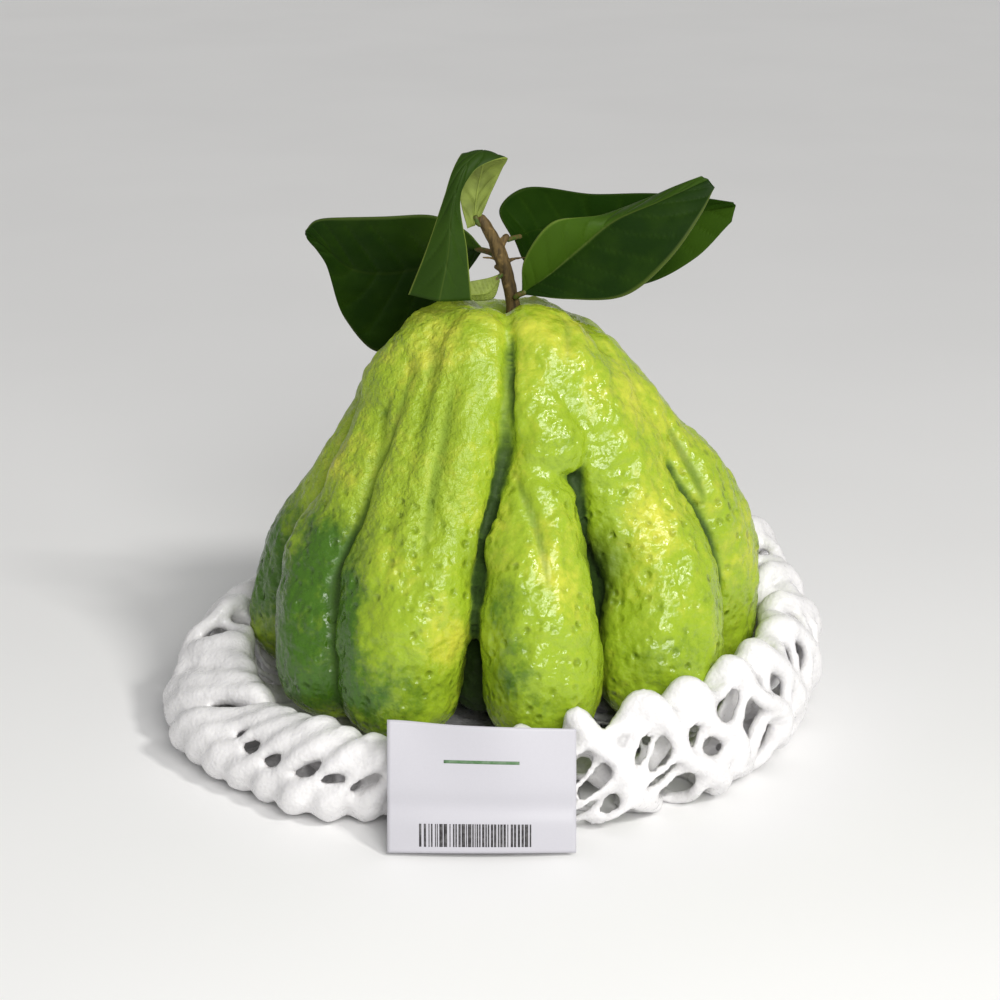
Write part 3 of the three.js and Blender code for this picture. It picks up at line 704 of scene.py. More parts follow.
def peel_material(settings):
    """Waxy peel: green to yellow by ripeness, painted shade in its pits, pores, creases and the hidden
    inside of the ring, a wet gloss and a dry, grainy patch.
    """
    recipe = Recipe("citron_peel")
    ripe, crease, dry = recipe.value("ripe"), recipe.value("crease"), recipe.value("dry")
    mottle = recipe.noise(9 * MM, detail=4)
    fine = recipe.noise(2.4 * MM, detail=4)
    tone = recipe.plus(ripe, recipe.ramp(mottle, 0.25, 0.75, -0.12, 0.12))
    tone = recipe.plus(tone, recipe.ramp(fine, 0.3, 0.7, -0.07, 0.07))
    colour = recipe.mix(recipe.ramp(tone, 0.0, 0.5), settings.green, settings.lime)
    colour = recipe.mix(recipe.ramp(tone, 0.5, 1.0), colour, settings.yellow)
    # Painted shade: the pits and pores are darkened towards the painted shade colour.
    pit = recipe.ramp(recipe.value("pit"), 0.15, 0.8)
    pores = recipe.times(recipe.spots(3.7 * MM, 1.7 * MM, 0.3), recipe.value("pored"))
    pores = recipe.times(pores, recipe.ramp(recipe.noise(12 * MM, detail=2), 0.36, 0.58, 0.35, 1.0))
    colour = recipe.mix(recipe.times(pit, 0.32), colour, settings.painted_shade)
    colour = recipe.mix(recipe.times(pores, 0.28), colour, settings.painted_shade)
    # Painted shade: creases are darkened towards the painted shade colour, the deepest towards a darker copy
    # of it.
    deep = toned(settings.painted_shade, 0.55)
    colour = recipe.mix(recipe.ramp(crease, 0.22, 0.8, 0.0, 0.78), colour, settings.painted_shade)
    colour = recipe.mix(recipe.ramp(crease, 0.62, 1.0), colour, deep)
    # Painted shade: the hidden inside of the ring is darkened towards the darker copy of the painted shade
    # colour.
    colour = recipe.mix(recipe.value("inside"), colour, deep)
    glands = recipe.cells(1.3 * MM, "SMOOTH_F1")
    grain = recipe.bump(glands, 0.10 * MM, 0.5)
    stucco = recipe.times(recipe.noise(1.9 * MM, detail=3, roughness=0.6), recipe.plus(dry, 0.12))
    grain = recipe.bump(stucco, 1.1 * MM, 0.9, grain)
    grain = recipe.bump(recipe.times(pores, -1.0), 0.8 * MM, 0.9, grain)
    grain = recipe.bump(recipe.noise(3.2 * MM, detail=2, roughness=0.45), 1.0 * MM, 0.85, grain)
    gloss = recipe.ramp(recipe.noise(5 * MM, detail=3), 0.3, 0.7, 0.18, 0.32)
    gloss = recipe.plus(gloss, recipe.times(dry, 0.14))
    gloss = recipe.plus(gloss, recipe.ramp(crease, 0.1, 0.7, 0.0, 0.5))
    gloss = recipe.plus(gloss, recipe.times(recipe.value("inside"), 0.4))
    return recipe.finish(
        Base_Color=colour, Roughness=gloss, Normal=grain, Subsurface_Weight=0.12,
        Subsurface_Radius=(2.4 * MM, 2.6 * MM, 0.5 * MM), Subsurface_Scale=1.0,
        Specular_IOR_Level=0.46)


def leaf_material(name, settings, light_share, rib_share, rim_share, shine):
    """Leathery upper face with a paler midrib, side veins and a thin pale rim."""
    recipe = Recipe(name)
    wide = recipe.math("ABSOLUTE", recipe.value("across"))
    rib = recipe.ramp(wide, 0.012, 0.035, 1.0, 0.0)
    veins = recipe.value("vein")
    patch = recipe.ramp(recipe.noise(14 * MM, detail=3), 0.38, 0.72)
    # The light value is painted light on the front leaf's lit upper half.
    share = recipe.times(recipe.value("light"), light_share)
    share = recipe.plus(share, recipe.times(patch, 0.22 * light_share), clamp=True)
    colour = recipe.mix(share, settings.face, settings.light)
    colour = recipe.mix(recipe.times(veins, 0.10), colour, settings.light)
    colour = recipe.mix(recipe.times(rib, rib_share), colour, settings.underside)
    colour = recipe.mix(recipe.times(recipe.value("rim"), rim_share), colour, settings.underside)
    grain = recipe.bump(recipe.cells(0.7 * MM), 0.05 * MM, 0.3)
    grain = recipe.bump(recipe.times(veins, -1.0), 0.25 * MM, 0.6, grain)
    gloss = recipe.ramp(recipe.noise(4 * MM, detail=2), 0.3, 0.7, 0.46, 0.60)
    return recipe.finish(
        Base_Color=colour, Roughness=gloss, Normal=grain, Specular_IOR_Level=shine,
        Subsurface_Weight=0.04, Subsurface_Radius=(0.6 * MM, 1.0 * MM, 0.2 * MM), Subsurface_Scale=1.0)


def underside_material(name, settings):
    """The pale, dull underside of a leaf, with raised veins."""
    recipe = Recipe(name)
    wide = recipe.math("ABSOLUTE", recipe.value("across"))
    rib = recipe.ramp(wide, 0.02, 0.05, 1.0, 0.0)
    patch = recipe.ramp(recipe.noise(7 * MM, detail=3), 0.35, 0.7)
    dull = toned(settings.underside, 0.62)
    colour = recipe.mix(patch, settings.underside, dull)
    colour = recipe.mix(recipe.times(recipe.value("vein"), 0.35), colour, dull)
    colour = recipe.mix(recipe.times(rib, 0.5), colour, toned(settings.underside, 1.3))
    grain = recipe.bump(recipe.plus(recipe.value("vein"), rib), 0.3 * MM, 0.7)
    return recipe.finish(Base_Color=colour, Roughness=0.62, Normal=grain, Specular_IOR_Level=0.3)


def bark_material(settings):
    """Green-brown bark with lengthwise streaks and pale specks."""
    recipe = Recipe("twig_bark")
    stretched = recipe.node("ShaderNodeMapping", {"Vector": recipe.place(), "Scale": (1, 1, 0.22)})
    streak = recipe.noise(1.1 * MM, detail=4, roughness=0.6, place=stretched.outputs[0])
    colour = recipe.mix(recipe.ramp(streak, 0.3, 0.62), toned(settings.bark, 0.35), settings.bark)
    specks = recipe.ramp(recipe.noise(2.2 * MM, detail=2), 0.56, 0.7)
    colour = recipe.mix(specks, colour, toned(settings.bark, 1.5))
    grain = recipe.bump(streak, 0.35 * MM, 0.8)
    return recipe.finish(Base_Color=colour, Roughness=0.66, Normal=grain, Specular_IOR_Level=0.3)


def stalk_material(settings):
    """The smooth green skin of a leaf stalk, browner in streaks."""
    recipe = Recipe("leaf_stalk_skin")
    streaks = recipe.ramp(recipe.noise(1.6 * MM, detail=3), 0.35, 0.65)
    colour = recipe.mix(streaks, settings.light, settings.bark)
    grain = recipe.bump(recipe.noise(0.8 * MM, detail=3), 0.15 * MM, 0.5)
    return recipe.finish(Base_Color=colour, Roughness=0.55, Normal=grain, Specular_IOR_Level=0.3)


def foam_material(settings):
    """Milky foam strands with a fine, glinting cell skin and painted shade in the creases where they meet.
    """
    recipe = Recipe("net_foam")
    clouds = recipe.ramp(recipe.noise(6 * MM, detail=4), 0.35, 0.7)
    colour = recipe.mix(clouds, settings.foam, toned(settings.foam, 0.90))
    # Painted shade: the foam is darkened in the creases between strands.
    crease = recipe.ramp(recipe.value("crease"), 0.2, 1.0, 0.0, 0.55)
    colour = recipe.mix(crease, colour, toned(settings.foam, 0.5))
    grain = recipe.bump(recipe.cells(1.1 * MM, "SMOOTH_F1"), 0.32 * MM, 0.6)
    grain = recipe.bump(recipe.noise(3.0 * MM, detail=4, roughness=0.65), 0.8 * MM, 0.45, grain)
    gloss = recipe.ramp(recipe.noise(1.6 * MM, detail=3), 0.35, 0.65, 0.26, 0.52)
    return recipe.finish(
        Base_Color=colour, Roughness=gloss, Normal=grain, Subsurface_Weight=0.35,
        Subsurface_Radius=(3.0 * MM, 3.0 * MM, 3.2 * MM), Subsurface_Scale=1.0,
        Specular_IOR_Level=0.5, Coat_Weight=0.3, Coat_Roughness=0.2)


def paper_material(settings):
    """Half-glossy label paper with a faint fibre."""
    recipe = Recipe("label_paper")
    fibre = recipe.noise(0.6 * MM, detail=3)
    faint = recipe.ramp(fibre, 0.3, 0.7, 0.0, 0.12)
    colour = recipe.mix(faint, settings.paper, toned(settings.paper, 0.85))
    grain = recipe.bump(fibre, 0.03 * MM, 0.4)
    return recipe.finish(Base_Color=colour, Roughness=0.42, Normal=grain, Specular_IOR_Level=0.4)


def ink_material(name, colour):
    """Printed ink that fades a little in patches."""
    recipe = Recipe(name)
    fade = recipe.ramp(recipe.noise(1.2 * MM, detail=3), 0.35, 0.75, 0.0, 0.4)
    pale = tuple(0.25 + 0.6 * channel for channel in colour)
    return recipe.finish(Base_Color=recipe.mix(fade, colour, pale), Roughness=0.5)


# ================================================================== the fruit


def finger_facing(turn):
    """The direction a finger's back faces, well clear of its own line."""
    return around(turn, 1, 0.84)


def round_stations(rows):
    return [(*around(turn, reach, height), girth) for turn, reach, height, girth in rows]


def fruit_form():
    """The fingers, brows and flesh as overlapping limbs."""
    form = Form()
    for crown, shoulder, belly, tip, girth, drop, grow in FINGERS:
        turns = {"crown": crown, "shoulder": shoulder, "belly": belly, "tip": tip}
        stations = []
        for reach, height, share, turn in HANG:
            high = (height - TIP_HEIGHT) / (CROWN_HEIGHT - TIP_HEIGHT)
            at = around(turns[turn], reach + grow * (1 - high), height - drop * high)
            stations.append((*at, girth * share))
        limb(form, stations, finger_facing(shoulder))
    for finger in OWN_FINGERS:
        limb(form, round_stations(finger), finger_facing(finger[2][0]))
    for brow in BROWS:
        limb(form, round_stations(brow), finger_facing(brow[2][0]), sides=24, rows=32)
    for turn, reach, girth, tip in INNER_FINGERS:
        rows = ((turn, reach * 0.8, INNER_TOP, girth * 0.9), (turn, reach, (INNER_TOP + tip) / 2, girth),
                (turn, reach * 0.95, tip, girth * 0.85))
        limb(form, round_stations(rows), finger_facing(turn), sides=24, rows=24)
    core = [(0, 0, height, girth) for height, girth in CORE]
    limb(form, core, (0, -1, 0), rows=30)
    return form


def skin_fruit(made, settings):
    """One even skin over the limbs, smoother towards the crown, with deeper creases and the stalk's pit.

    Gives the skin's points in millimetres, its edges and how hollow it is at each point.
    """
    remesh(made, settings.skin_cell)
    mesh = made.data
    edges = edges_of(mesh)
    points = points_of(mesh) / MM
    high = ease(points[:, 2], *SMOOTH_BAND)
    points = smoothed(points, edges, 1.0, 3)
    points = smoothed(points, edges, high, 8)
    move_points(mesh, points * MM)

    wide = relaxed(points, edges, weight=0.5, rounds=40)
    hollow = relaxed(((wide - points) * normals_of(mesh)).sum(1), edges, weight=0.5, rounds=2)
    points = points - normals_of(mesh) * (settings.crease * np.clip(hollow - 0.2, 0, 2))[:, None]
    points = relaxed(points, edges, weight=0.5, rounds=1)
    move_points(mesh, points * MM)

    near = np.hypot(points[:, 0] - PIT_MIDDLE[0], points[:, 1] - PIT_MIDDLE[1])
    sunk = PIT_DEPTH * np.exp(-(near / PIT_WIDTH) ** 2)
    points[:, 2] -= np.where(points[:, 2] > PIT_ABOVE, sunk, 0)
    move_points(mesh, points * MM)
    return points, edges, hollow


def furrow_depth(points, width, depth, line):
    """How deep one furrow cuts at each point."""
    turn = np.degrees(np.arctan2(points[:, 0], -points[:, 1]))
    reach = np.hypot(points[:, 0], points[:, 1])
    places = smooth_line([(t, h, 0) for t, h in line], np.linspace(0, len(line) - 1, 60))
    nearest = np.full(len(points), 1e9)
    share = np.zeros(len(points))
    for place, (at_turn, at_height, _) in enumerate(places):
        gap = np.radians(half_turn(turn - at_turn)) * reach
        far = np.hypot(gap, (points[:, 2] - at_height) * 0.8)
        closer = far < nearest
        nearest[closer], share[closer] = far[closer], place / (len(places) - 1)
    fade = np.sin(np.pi * np.clip(share, 0.04, 0.96)) ** 0.5
    return depth * fade * np.exp(-(nearest / width) ** 2) * (reach > FURROW_REACH)


def peel_relief(points, hollow, pits, settings):
    """How far the peel rises at each point, and how dark the painted shade in a crease is there."""
    upright = points * (1, 1, 0.66)
    broad = noise_at(upright, *BROAD_NOISE)
    lumps = noise_at(upright, *LUMP_NOISE)
    ridge = 1 - 2 * np.abs(noise_at(points * (0.75, 0.75, 1.5), *RIDGE_NOISE))
    (across, wide), (height, tall) = RIDGED_ACROSS, RIDGED_HEIGHT
    shoulder = (np.exp(-((points[:, 0] - across) / wide) ** 2 - ((points[:, 2] - height) / tall) ** 2)
                * (points[:, 1] < 0))
    rough = 0.75 + 0.6 * noise_at(points, *ROUGH_NOISE)
    domes = domes_at(upright, *DOME_CELLS)
    rise = (settings.swelling / MM) * broad
    rise += (settings.lump / MM) * (1.35 * lumps + 0.8 * (domes - 0.6)) * rough
    rise += 0.55 * shoulder * ridge - settings.dimple / MM * pits
    rise *= 1 - 0.8 * ease(hollow, 0.3, 1.0)
    rise *= 0.5 + 0.5 * ease(points[:, 2], *FOOT_BAND)
    # Painted shade: creases and furrows are darkened by this value, less so high up.
    crease = ease(hollow, 0.12, 1.0) * (1 - 0.4 * ease(points[:, 2], *CREASE_SHADE_FADE_BAND))
    for width, depth, dark, line in FURROWS:
        cut = furrow_depth(points, width, depth, line)
        rise -= cut
        crease = np.maximum(crease, dark * ease(cut, 0.25 * depth, 0.85 * depth))
    return rise, crease


def ripeness(points, hollow):
    """How ripe the peel is at each point, from 0 for dark green to 1 for yellow; hollows are made greener as
    painted shade.
    """
    ripe = COMMON_RIPENESS + 0.10 * noise_at(points, *RIPE_NOISE)
    for turn, reach, height, spread, amount in RIPENESS_AND_PAINTED_LIGHT:
        apart = ((points - around(turn, reach, height)) ** 2).sum(1)
        ripe += amount * np.exp(-apart / spread ** 2)
    # Painted shade: the peel is made greener in hollows and creases.
    ripe -= 0.25 * ease(hollow, 0.2, 1.2)
    return np.clip(ripe, 0, 1)


def build_fruit(settings):
    """The fruit's skin with its relief, and the values that its peel is painted by."""
    made = fruit_form().object("citron_fruit")
    points, edges, hollow = skin_fruit(made, settings)
    mesh = made.data
    pits = pits_at(points, *PIT_CELLS, PIT_REACH)
    pits *= 0.35 + 0.65 * (1 - ease(points[:, 2], *PITLESS_BAND))
    rise, crease = peel_relief(points, hollow, pits, settings)
    dry = ((1 - ease(points[:, 0], *DRY_ACROSS)) * ease(points[:, 2], *DRY_BAND)
           * (points[:, 1] < DRY_BACK))
    points = raised(mesh, points, rise)

    # Painted shade: how much the hidden inside of the ring of fingers is darkened.
    inside = ((1 - ease(np.hypot(points[:, 0], points[:, 1]), *PAINTED_SHADE_INSIDE_REACH))
              * (1 - ease(points[:, 2], *PAINTED_SHADE_INSIDE_BAND)))
    keep_value(mesh, "ripe", ripeness(points, hollow))
    keep_value(mesh, "crease", relaxed(crease, edges, weight=0.5, rounds=1))
    keep_value(mesh, "dry", dry)
    keep_value(mesh, "pored", 0.25 + 0.75 * (1 - ease(points[:, 2], *PORELESS_BAND)))
    keep_value(mesh, "pit", relaxed(pits, edges, weight=0.4, rounds=1))
    keep_value(mesh, "inside", inside)
    dress(made, peel_material(settings), "peel", "fruit")


# ================================================================== twig and leaves


def build_twig(settings):
    """The woody twig with its thorns and stubs, as one skin with a knotty, streaked bark."""
    form = Form()
    limb(form, STEM, TWIG_FACING, sides=24, rows=60)
    for spur in SPURS:
        limb(form, spur, TWIG_FACING, sides=14, rows=20)
    made = form.object("citron_twig")
    remesh(made, TWIG_CELL * MM)
    mesh = made.data
    points = relaxed(points_of(mesh) / MM, edges_of(mesh), weight=0.5, rounds=3)
    move_points(mesh, points * MM)
    streaks = noise_at(points * (1, 1, 0.4), size=1.3, seed=2.2)
    knots = noise_at(points, size=3.4, seed=4.1)
    raised(mesh, points, 0.16 * streaks + 0.18 * knots)
    dress(made, bark_material(settings), "bark", "twig")


def blade_points(leaf, along, across):
    """Points of a blade's middle sheet, rows from stalk to tip, with their places."""
    rails = {}
    for key in ("upper", "midrib", "lower"):
        line = leaf[key]
        rails[key] = smooth_line(line, np.linspace(0, len(line) - 1, along + 1))
    places, values = np.linspace(-1, 1, across + 1), []
    for row in range(along + 1):
        middle = rails["midrib"][row]
        for w in places:
            edge = rails["upper" if w < 0 else "lower"][row]
            values.append(middle + (edge - middle) * abs(w))
    return np.array(values), places


def build_blade(name, settings, along, across, uneven, turned):
    """The middle sheet of one leaf: a cupped blade with sunken veins."""
    points, places = blade_points(LEAVES[name], along, across)
    columns = across + 1
    faces = [(row * columns + column, (row + 1) * columns + column,
              (row + 1) * columns + column + 1, row * columns + column + 1)
             for row in range(along) for column in range(across)]
    if turned:
        faces = [face[::-1] for face in faces]
    made = mesh_object(name.replace("leaf", "blade"), points * MM, faces)
    mesh = made.data
    u = np.repeat(np.linspace(0, 1, along + 1), columns)
    w = np.tile(places, along + 1)
    wide = np.abs(w)
    slant = u * VEIN_PAIRS - wide * VEIN_FORWARD + 0.15 * np.where(w < 0, 1, 0)
    vein = np.exp(-((slant - np.round(slant)) / VEIN_WIDTH) ** 2) * (1 - ease(wide, 0.80, 0.98))
    vein *= ease(u, 0.03, 0.10) * (1 - ease(u, 0.93, 0.99))
    rib = np.exp(-(wide / RIB_WIDTH) ** 2)
    pillow = np.abs(np.sin(math.pi * slant)) * (1 - wide ** 3) * ease(wide, 0.05, 0.3)
    rise = pillow * PILLOW_RISE - vein * settings.vein / MM - rib * RIB_DEPTH
    rise += 0.5 * noise_at(points, size=13, seed=2.6) * ease(wide, 0.1, 0.5) * uneven
    raised(mesh, points, rise)
    keep_value(mesh, "across", w)
    keep_value(mesh, "vein", vein)
    keep_value(mesh, "rim", ease(wide, 0.975, 0.995))
    keep_value(mesh, "light", leaf_light(name, u, w))
    return made


def leaf_light(name, u, w):
    """Where a blade is lighter green, on the front leaf as painted light: u runs from its stalk to its tip
    and w across it.
    """
    if name == "leaf_left":
        return 0.9 * ease(-w, 0.1, 0.6) * (1 - ease(u, 0.12, 0.55))
    if name == "leaf_right_back":
        return 0.9 * ease(u, 0.58, 0.80) * ease(w, -0.4, 0.3)
    # Painted light: the front leaf's upper half, which faces the light, is painted lighter.
    if name == "leaf_right_front":
        return ease(-w, -0.02, 0.04) * (1 - 0.5 * ease(u, 0.3, 0.8))
    return np.full(len(u), 0.5)


def build_leaves(settings):
    """The five leaves with their stalks."""
    under = underside_material("leaf_underside", settings)
    stalk_skin = stalk_material(settings)
    for name, (along, across, uneven, light, rib, rim, shine, turned) in BLADES.items():
        made = build_blade(name, settings, along, across, uneven, turned)
        young = name == "leaf_small"
        face = under if young else leaf_material(name + "_face", settings, light, rib, rim, shine)
        made.data.materials.append(face)
        made.data.materials.append(under)
        apply_modifier(made, "SOLIDIFY", thickness=BLADE_THICK * MM, offset=0.0, material_offset=1,
                       material_offset_rim=1 if young else 0)
        form = Form()
        limb(form, LEAVES[name]["stalk"], TWIG_FACING, sides=14, rows=20)
        stalk = form.object(name.replace("leaf", "stalk"))
        stalk.data.materials.append(stalk_skin)
        for piece in (made, stalk):
            shade_smooth(piece.data)
            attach(piece, BODY)
            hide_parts(name)


# ================================================================== the net


def net_at(turn):
    """The sleeve's belly reach and height and its crest reach and height at a turn."""
    step = 360 / len(NET_TURNS)
    place = (turn % 360) / step
    low = int(place) % len(NET_TURNS)
    share = ease(place - int(place), 0, 1)
    first, second = NET_TURNS[low], NET_TURNS[(low + 1) % len(NET_TURNS)]
    return [a + (b - a) * share for a, b in zip(first[1:], second[1:])]


def bunching(turn):
    """How much the strands are pushed together into fat ropes at a turn, and how far they slant for it."""
    found = (0.0, 0.0)
    for middle, spread, most, slant in BUNCHES:
        apart = abs(half_turn(turn - middle))
        share = most * (1 - float(ease(apart, spread * 0.62, spread)))
        found = max(found, (share, slant * share))
    return found


def strand_profile(turn, radius):
    """Reach and height of a strand's middle from under the fruit, out and up and back inside."""
    belly, low, crest, high = net_at(turn)
    outer, top = belly - radius, high - radius
    inner = min(NET_LINING + radius - 0.8, outer - 0.5)
    brow = max(crest, inner + 0.4)
    low = max(low, radius)
    rows = [(NET_GATHER, radius), (30, radius), (55, radius), (outer - 9, radius),
            (outer - 2.4, radius + (low - radius) * 0.30), (outer, low)]
    for angle in (22.5, 45, 67.5):
        rows.append((brow + (outer - brow) * math.cos(math.radians(angle)) ** 0.85,
                     low + (top - low) * math.sin(math.radians(angle)) ** 0.85))
    rows += [(brow, top), (inner, top - 1.6), (inner, (top + NET_FLOOR) / 2),
             (inner - 3, NET_FLOOR - radius + 3.5), (inner - 10, NET_FLOOR - radius),
             (52, NET_FLOOR - radius), (28, NET_FLOOR - radius - 1)]
    return rows


def narrowing(turn, below):
    """How much the ropes narrow at places below the crest, so that slits open between them."""
    turns, middles, amounts = zip(*SLITS)
    middle = np.interp(half_turn(turn), turns, middles)
    amount = np.interp(half_turn(turn), turns, amounts)
    return amount * np.exp(-((below - middle) / np.where(below < middle, SLIT_UP, SLIT_DOWN)) ** 2)


def strand(form, kind, number, settings, wave):
    """One foam strand: ribs slant one way down the sleeve and two thinner strands a cell the other way.

    Where the sleeve is bunched, ribs and webs lie side by side as fat ropes that narrow at the slits.
    """
    place, size, slant, lift, bulge = STRANDS[kind]
    home = (number + place) * 360 / NET_CELLS
    bunch, leaning = bunching(home)
    loose = 1 - bunch
    if kind == "cross" and bunch > 0.55:
        return
    chance = [wave[(number + step) % len(wave)] for step in (0, 2, 3, 5, 7)]
    if kind != "rib":
        chance = chance[2:] + chance[:2]
    radius = settings.strand * size * (1 + 0.14 * chance[1])
    radius = (radius + (settings.bunched - radius) * bunch) / MM
    rows = strand_profile(home, radius)
    places = np.linspace(0, len(rows) - 1, 170)
    flat = smooth_line([(reach, height, 0) for reach, height in rows], places)
    lengths = lengths_along(flat)
    below = lengths[int(np.argmax(flat[:, 1]))] - lengths
    belly = lengths - np.interp(BELLY_ROW, places, lengths)
    fall = np.clip(below / WALL_RUN, -0.3, 1)
    sway = 1.3 * np.sin(below / (3.2 + chance[2]) + 3 * chance[3])
    turns = np.radians(home + 1.2 * chance[4] + leaning * fall
                       + loose * ((slant + 3 * chance[0]) * fall + sway))
    nub = np.exp(-(below / RIM_SWELLING) ** 2)
    lobe = np.exp(-(belly / BELLY_SWELLING) ** 2)
    heights = flat[:, 1] + (loose * lift + 1.0 * chance[0]) * nub
    reach = flat[:, 0] + chance[4] * 0.8 + bulge * loose * np.clip(below / 10, 0, 1)
    line = np.column_stack((reach * np.sin(turns), -reach * np.cos(turns), heights))
    thick = radius * (1 + 0.06 * np.sin(lengths / 4.3 + 3.8 * number)
                      + loose * (0.42 * lobe + 0.30 * nub) * (1 if kind == "rib" else 0)
                      + bunch * (0.35 * lobe + 0.08 * nub - narrowing(home, below)))
    gathered = np.clip(flat[:, 0] / 60, 0.55, 1)
    tube(form, line, thick * gathered, sides=12)


def build_net(settings):
    """The sleeve: all its strands joined into one foam skin, with painted shade where they meet."""
    random.seed(11)
    wave = [random.uniform(-1, 1) for _ in range(NET_CELLS)]
    form = Form()
    for number in range(NET_CELLS):
        for kind in STRANDS:
            strand(form, kind, number, settings, wave)
    made = form.object("foam_net_sleeve")
    remesh(made, settings.cell)
    mesh = made.data
    edges = edges_of(mesh)
    points = relaxed(points_of(mesh) / MM, edges, weight=0.5, rounds=3)
    move_points(mesh, points * MM)
    uneven = 0.45 * noise_at(points, size=8, seed=3.3) + 0.28 * noise_at(points, size=3.6, seed=9.9)
    points = raised(mesh, points, uneven)
    points[:, 2] = np.maximum(points[:, 2], NET_FOOT)
    move_points(mesh, points * MM)
    # Painted shade: how hollow the foam is, for darkening it between strands.
    close = relaxed(points, edges, weight=0.5, rounds=24)
    hollow = ((close - points) * normals_of(mesh)).sum(1)
    keep_value(mesh, "crease", ease(hollow, 0.1, 1.2))
    dress(made, foam_material(settings), "foam", "foam_net")


# ================================================================== the label


def label_point(across, up, out):
    """A point over the label: across and up are shares of its width and height, out is in front of it."""
    bow = LABEL_BOW * math.cos(math.pi * (across - 0.5)) + LABEL_TWIST * math.sin(5 * (across - 0.5)) * up
    fold = (FOLD_RISE * math.exp(-((up - FOLD_PLACE) / FOLD_WIDTH) ** 2)
            + TUCK_RISE * max(0.0, TUCK_BELOW - up) / TUCK_BELOW)
    ripple = LABEL_RIPPLE * math.sin(9 * across + 3 * up)
    y = -bow + fold * 0.7 - ripple * up - out
    z = LABEL_HEIGHT * up - LABEL_DROOP * (across - 0.5) * up
    if up > CORNER_ABOVE:
        curl = 0.9 * math.exp(-((across - 0.02) / 0.22) ** 2) - 0.5 * across
        z += (up - CORNER_ABOVE) * 10 * curl
    lean = math.radians(LABEL_LEAN)
    x = LABEL_LEFT + LABEL_WIDTH * across
    return (x, LABEL_FRONT + y * math.cos(lean) + z * math.sin(lean),
            LABEL_FOOT + z * math.cos(lean) - y * math.sin(lean))


def patch_on_label(form, left, right, low, high, out, columns, rows):
    """Adds a thin closed patch that follows the label between four shares of its sides."""
    points = [label_point(left + (right - left) * column / columns, low + (high - low) * row / rows, depth)
              for depth in (out, out - SHEET_THICK)
              for row in range(rows + 1) for column in range(columns + 1)]
    wide, count = columns + 1, (columns + 1) * (rows + 1)
    faces = []
    for row in range(rows):
        for column in range(columns):
            a = row * wide + column
            faces.append((a, a + 1, a + wide + 1, a + wide))
            faces.append((count + a, count + a + wide, count + a + wide + 1, count + a + 1))
    border = [(0, column) for column in range(columns)]
    border += [(row, columns) for row in range(rows)]
    border += [(rows, column) for column in range(columns, 0, -1)]
    border += [(row, 0) for row in range(rows, 0, -1)]
    ids = [row * wide + column for row, column in border]
    for a, b in zip(ids, ids[1:] + ids[:1]):
        faces.append((b, a, count + a, count + b))
    form.add(points, faces)


def build_label(settings):
    """The paper label with its printed bars and rule, each ink a hair above the paper."""
    form = Form()
    patch_on_label(form, 0, 1, 0, 1, LABEL_OUT, columns=48, rows=40)
    dress(form.object("price_label"), paper_material(settings), "paper", "label")

    random.seed(5)
    ink = LABEL_OUT + INK_LIFT
    form = Form()
    place = BARS_LEFT
    for _ in range(settings.bars):
        width = random.choice(BAR_WIDTHS)
        patch_on_label(form, place, place + width, BARS_LOW, BARS_HIGH, ink, columns=1, rows=10)
        place += width + random.choice(BAR_GAPS)
    dress(form.object("label_bars"), ink_material("bar_ink", BAR_INK), "paper", "label")

    form = Form()
    patch_on_label(form, RULE_LEFT, RULE_RIGHT, RULE_LOW, RULE_HIGH, ink, columns=20, rows=2)
    dress(form.object("label_rule"), ink_material("rule_ink", RULE_INK), "paper", "label")


# ================================================================== the stage


def placed(name, data, place, towards):
    """Adds a camera or a light at a place, turned towards a direction."""
    made = bpy.data.objects.new(name, data)
    made.location = place
    made.rotation_euler = Vector(towards).to_track_quat("-Z", "Y").to_euler()
    bpy.context.scene.collection.objects.link(made)
    return made


def build_stage():
    """The sky, the camera, the floor and two lights."""
    scene = bpy.context.scene
    scene.view_settings.view_transform = "Standard"
    world = bpy.data.worlds.new("studio")
    world.use_nodes = True
    sky = world.node_tree.nodes["Background"]
    sky.inputs["Color"].default_value = (1, 1, 1, 1)
    sky.inputs["Strength"].default_value = SKY_STRENGTH
    scene.world = world

    tilt = math.radians(VIEW_ELEVATION)
    back = Vector((0, -math.cos(tilt), math.sin(tilt)))
    lens = bpy.data.cameras.new("camera")
    lens.lens, lens.sensor_width = VIEW_LENS, 36
    scene.camera = placed("camera", lens, Vector(VIEW_TARGET) * MM + back * VIEW_DISTANCE * MM, -back)

    floor = mesh_object("floor", *floor_sweep())
    shade_smooth(floor.data)
    recipe = Recipe("floor_paint")
    tint = recipe.ramp(recipe.noise(0.2, detail=2), 0.3, 0.7)
    floor.data.materials.append(recipe.finish(
        Base_Color=recipe.mix(tint, FLOOR_PAINT, FLOOR_TINT), Roughness=0.8))

    sun = bpy.data.lights.new("key", "SUN")
    sun.energy, sun.angle, sun.color = SUN_STRENGTH, math.radians(SUN_SPREAD), SUN_COLOUR
    placed("key", sun, (0, 0, 0), -Vector(SUN_FROM))
    window = bpy.data.lights.new("window", "AREA")
    window.size, window.energy, window.color = WINDOW_EDGE, WINDOW_POWER, WINDOW_COLOUR
    placed("window", window, WINDOW_PLACE, Vector(WINDOW_TARGET) - Vector(WINDOW_PLACE))


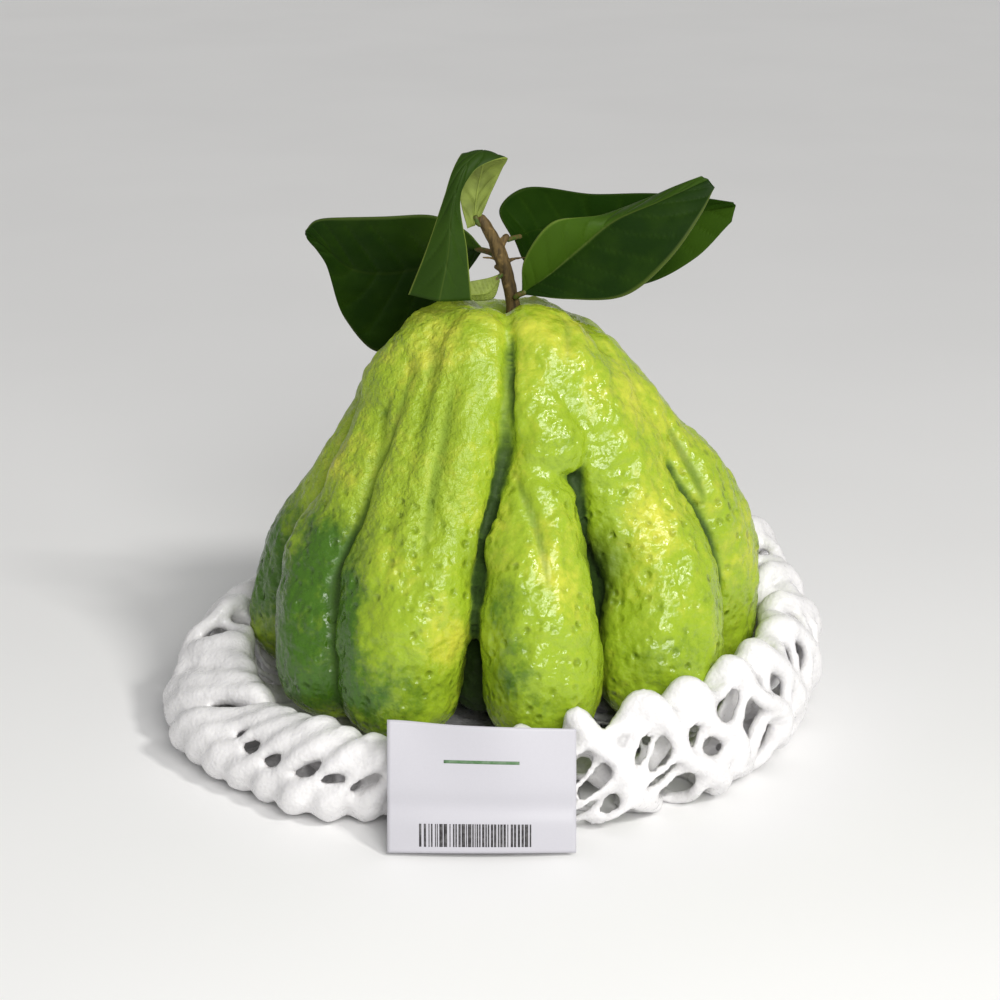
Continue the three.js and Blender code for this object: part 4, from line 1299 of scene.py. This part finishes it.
def floor_sweep():
    """A floor that sweeps up behind the object on a wide curve."""
    profile = [(-FLOOR_FRONT, 0.0), (FLOOR_BACK, 0.0)]
    for angle in range(6, 91, 6):
        turned = math.radians(angle)
        profile.append((FLOOR_BACK + FLOOR_SWEEP * math.sin(turned), FLOOR_SWEEP * (1 - math.cos(turned))))
    profile.append((FLOOR_BACK + FLOOR_SWEEP, FLOOR_WALL))
    points = [(side * FLOOR_WIDTH, y, z) for y, z in profile for side in (-1, 1)]
    faces = [(2 * row, 2 * row + 1, 2 * row + 3, 2 * row + 2) for row in range(len(profile) - 1)]
    return points, faces


# ================================================================== operators and panel


class CITRON_OT_stage(Operator):
    """Sets up the floor, the lights and the camera"""
    bl_idname = "citron.stage"
    bl_label = "Stage"

    def execute(self, context):
        build_stage()
        return {"FINISHED"}


class CITRON_OT_fruit(Operator):
    """Builds the fingered fruit with its pitted peel"""
    bl_idname = "citron.fruit"
    bl_label = "Fruit"

    def execute(self, context):
        build_fruit(context.scene.citron_fruit)
        return {"FINISHED"}


class CITRON_OT_twig(Operator):
    """Builds the cut twig with its thorns and leaf stubs"""
    bl_idname = "citron.twig"
    bl_label = "Twig"

    def execute(self, context):
        build_twig(context.scene.citron_leaf)
        return {"FINISHED"}


class CITRON_OT_leaves(Operator):
    """Builds the five leaves, each with a pale underside and all but the small one with a green face"""
    bl_idname = "citron.leaves"
    bl_label = "Leaves"

    def execute(self, context):
        build_leaves(context.scene.citron_leaf)
        return {"FINISHED"}


class CITRON_OT_net(Operator):
    """Builds the foam net sleeve strand by strand"""
    bl_idname = "citron.net"
    bl_label = "Foam Net"

    def execute(self, context):
        build_net(context.scene.citron_net)
        return {"FINISHED"}


class CITRON_OT_label(Operator):
    """Builds the paper price label with its bars"""
    bl_idname = "citron.label"
    bl_label = "Label"

    def execute(self, context):
        build_label(context.scene.citron_net)
        return {"FINISHED"}


class CITRON_PT_sidebar(Panel):
    """Lists the citron's pieces and their settings"""
    bl_idname = "CITRON_PT_sidebar"
    bl_label = "Citron"
    bl_space_type = "VIEW_3D"
    bl_region_type = "UI"
    bl_category = "Citron"

    def draw(self, context):
        layout = self.layout
        for group, operators in (
                (context.scene.citron_fruit, (CITRON_OT_fruit,)),
                (context.scene.citron_leaf, (CITRON_OT_twig, CITRON_OT_leaves)),
                (context.scene.citron_net, (CITRON_OT_net, CITRON_OT_label))):
            box = layout.box()
            for key in group.bl_rna.properties.keys():
                if key not in ("rna_type", "name"):
                    box.prop(group, key)
            for operator in operators:
                box.operator(operator.bl_idname)
        layout.operator(CITRON_OT_stage.bl_idname)


GROUPS = (("citron_fruit", CitronFruitSettings), ("citron_leaf", CitronLeafSettings),
          ("citron_net", CitronNetSettings))
OPERATORS = (CITRON_OT_stage, CITRON_OT_fruit, CITRON_OT_twig, CITRON_OT_leaves, CITRON_OT_net,
             CITRON_OT_label)


def register():
    for name, group in GROUPS:
        bpy.utils.register_class(group)
        setattr(bpy.types.Scene, name, PointerProperty(type=group))
    for operator in OPERATORS:
        bpy.utils.register_class(operator)
    bpy.utils.register_class(CITRON_PT_sidebar)


def unregister():
    bpy.utils.unregister_class(CITRON_PT_sidebar)
    for operator in reversed(OPERATORS):
        bpy.utils.unregister_class(operator)
    for name, group in reversed(GROUPS):
        delattr(bpy.types.Scene, name)
        bpy.utils.unregister_class(group)


def main():
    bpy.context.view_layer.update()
    register()
    bpy.ops.citron.stage()
    bpy.ops.citron.fruit()
    bpy.ops.citron.twig()
    bpy.ops.citron.leaves()
    bpy.ops.citron.net()
    bpy.ops.citron.label()


if __name__ == "__main__":
    main()
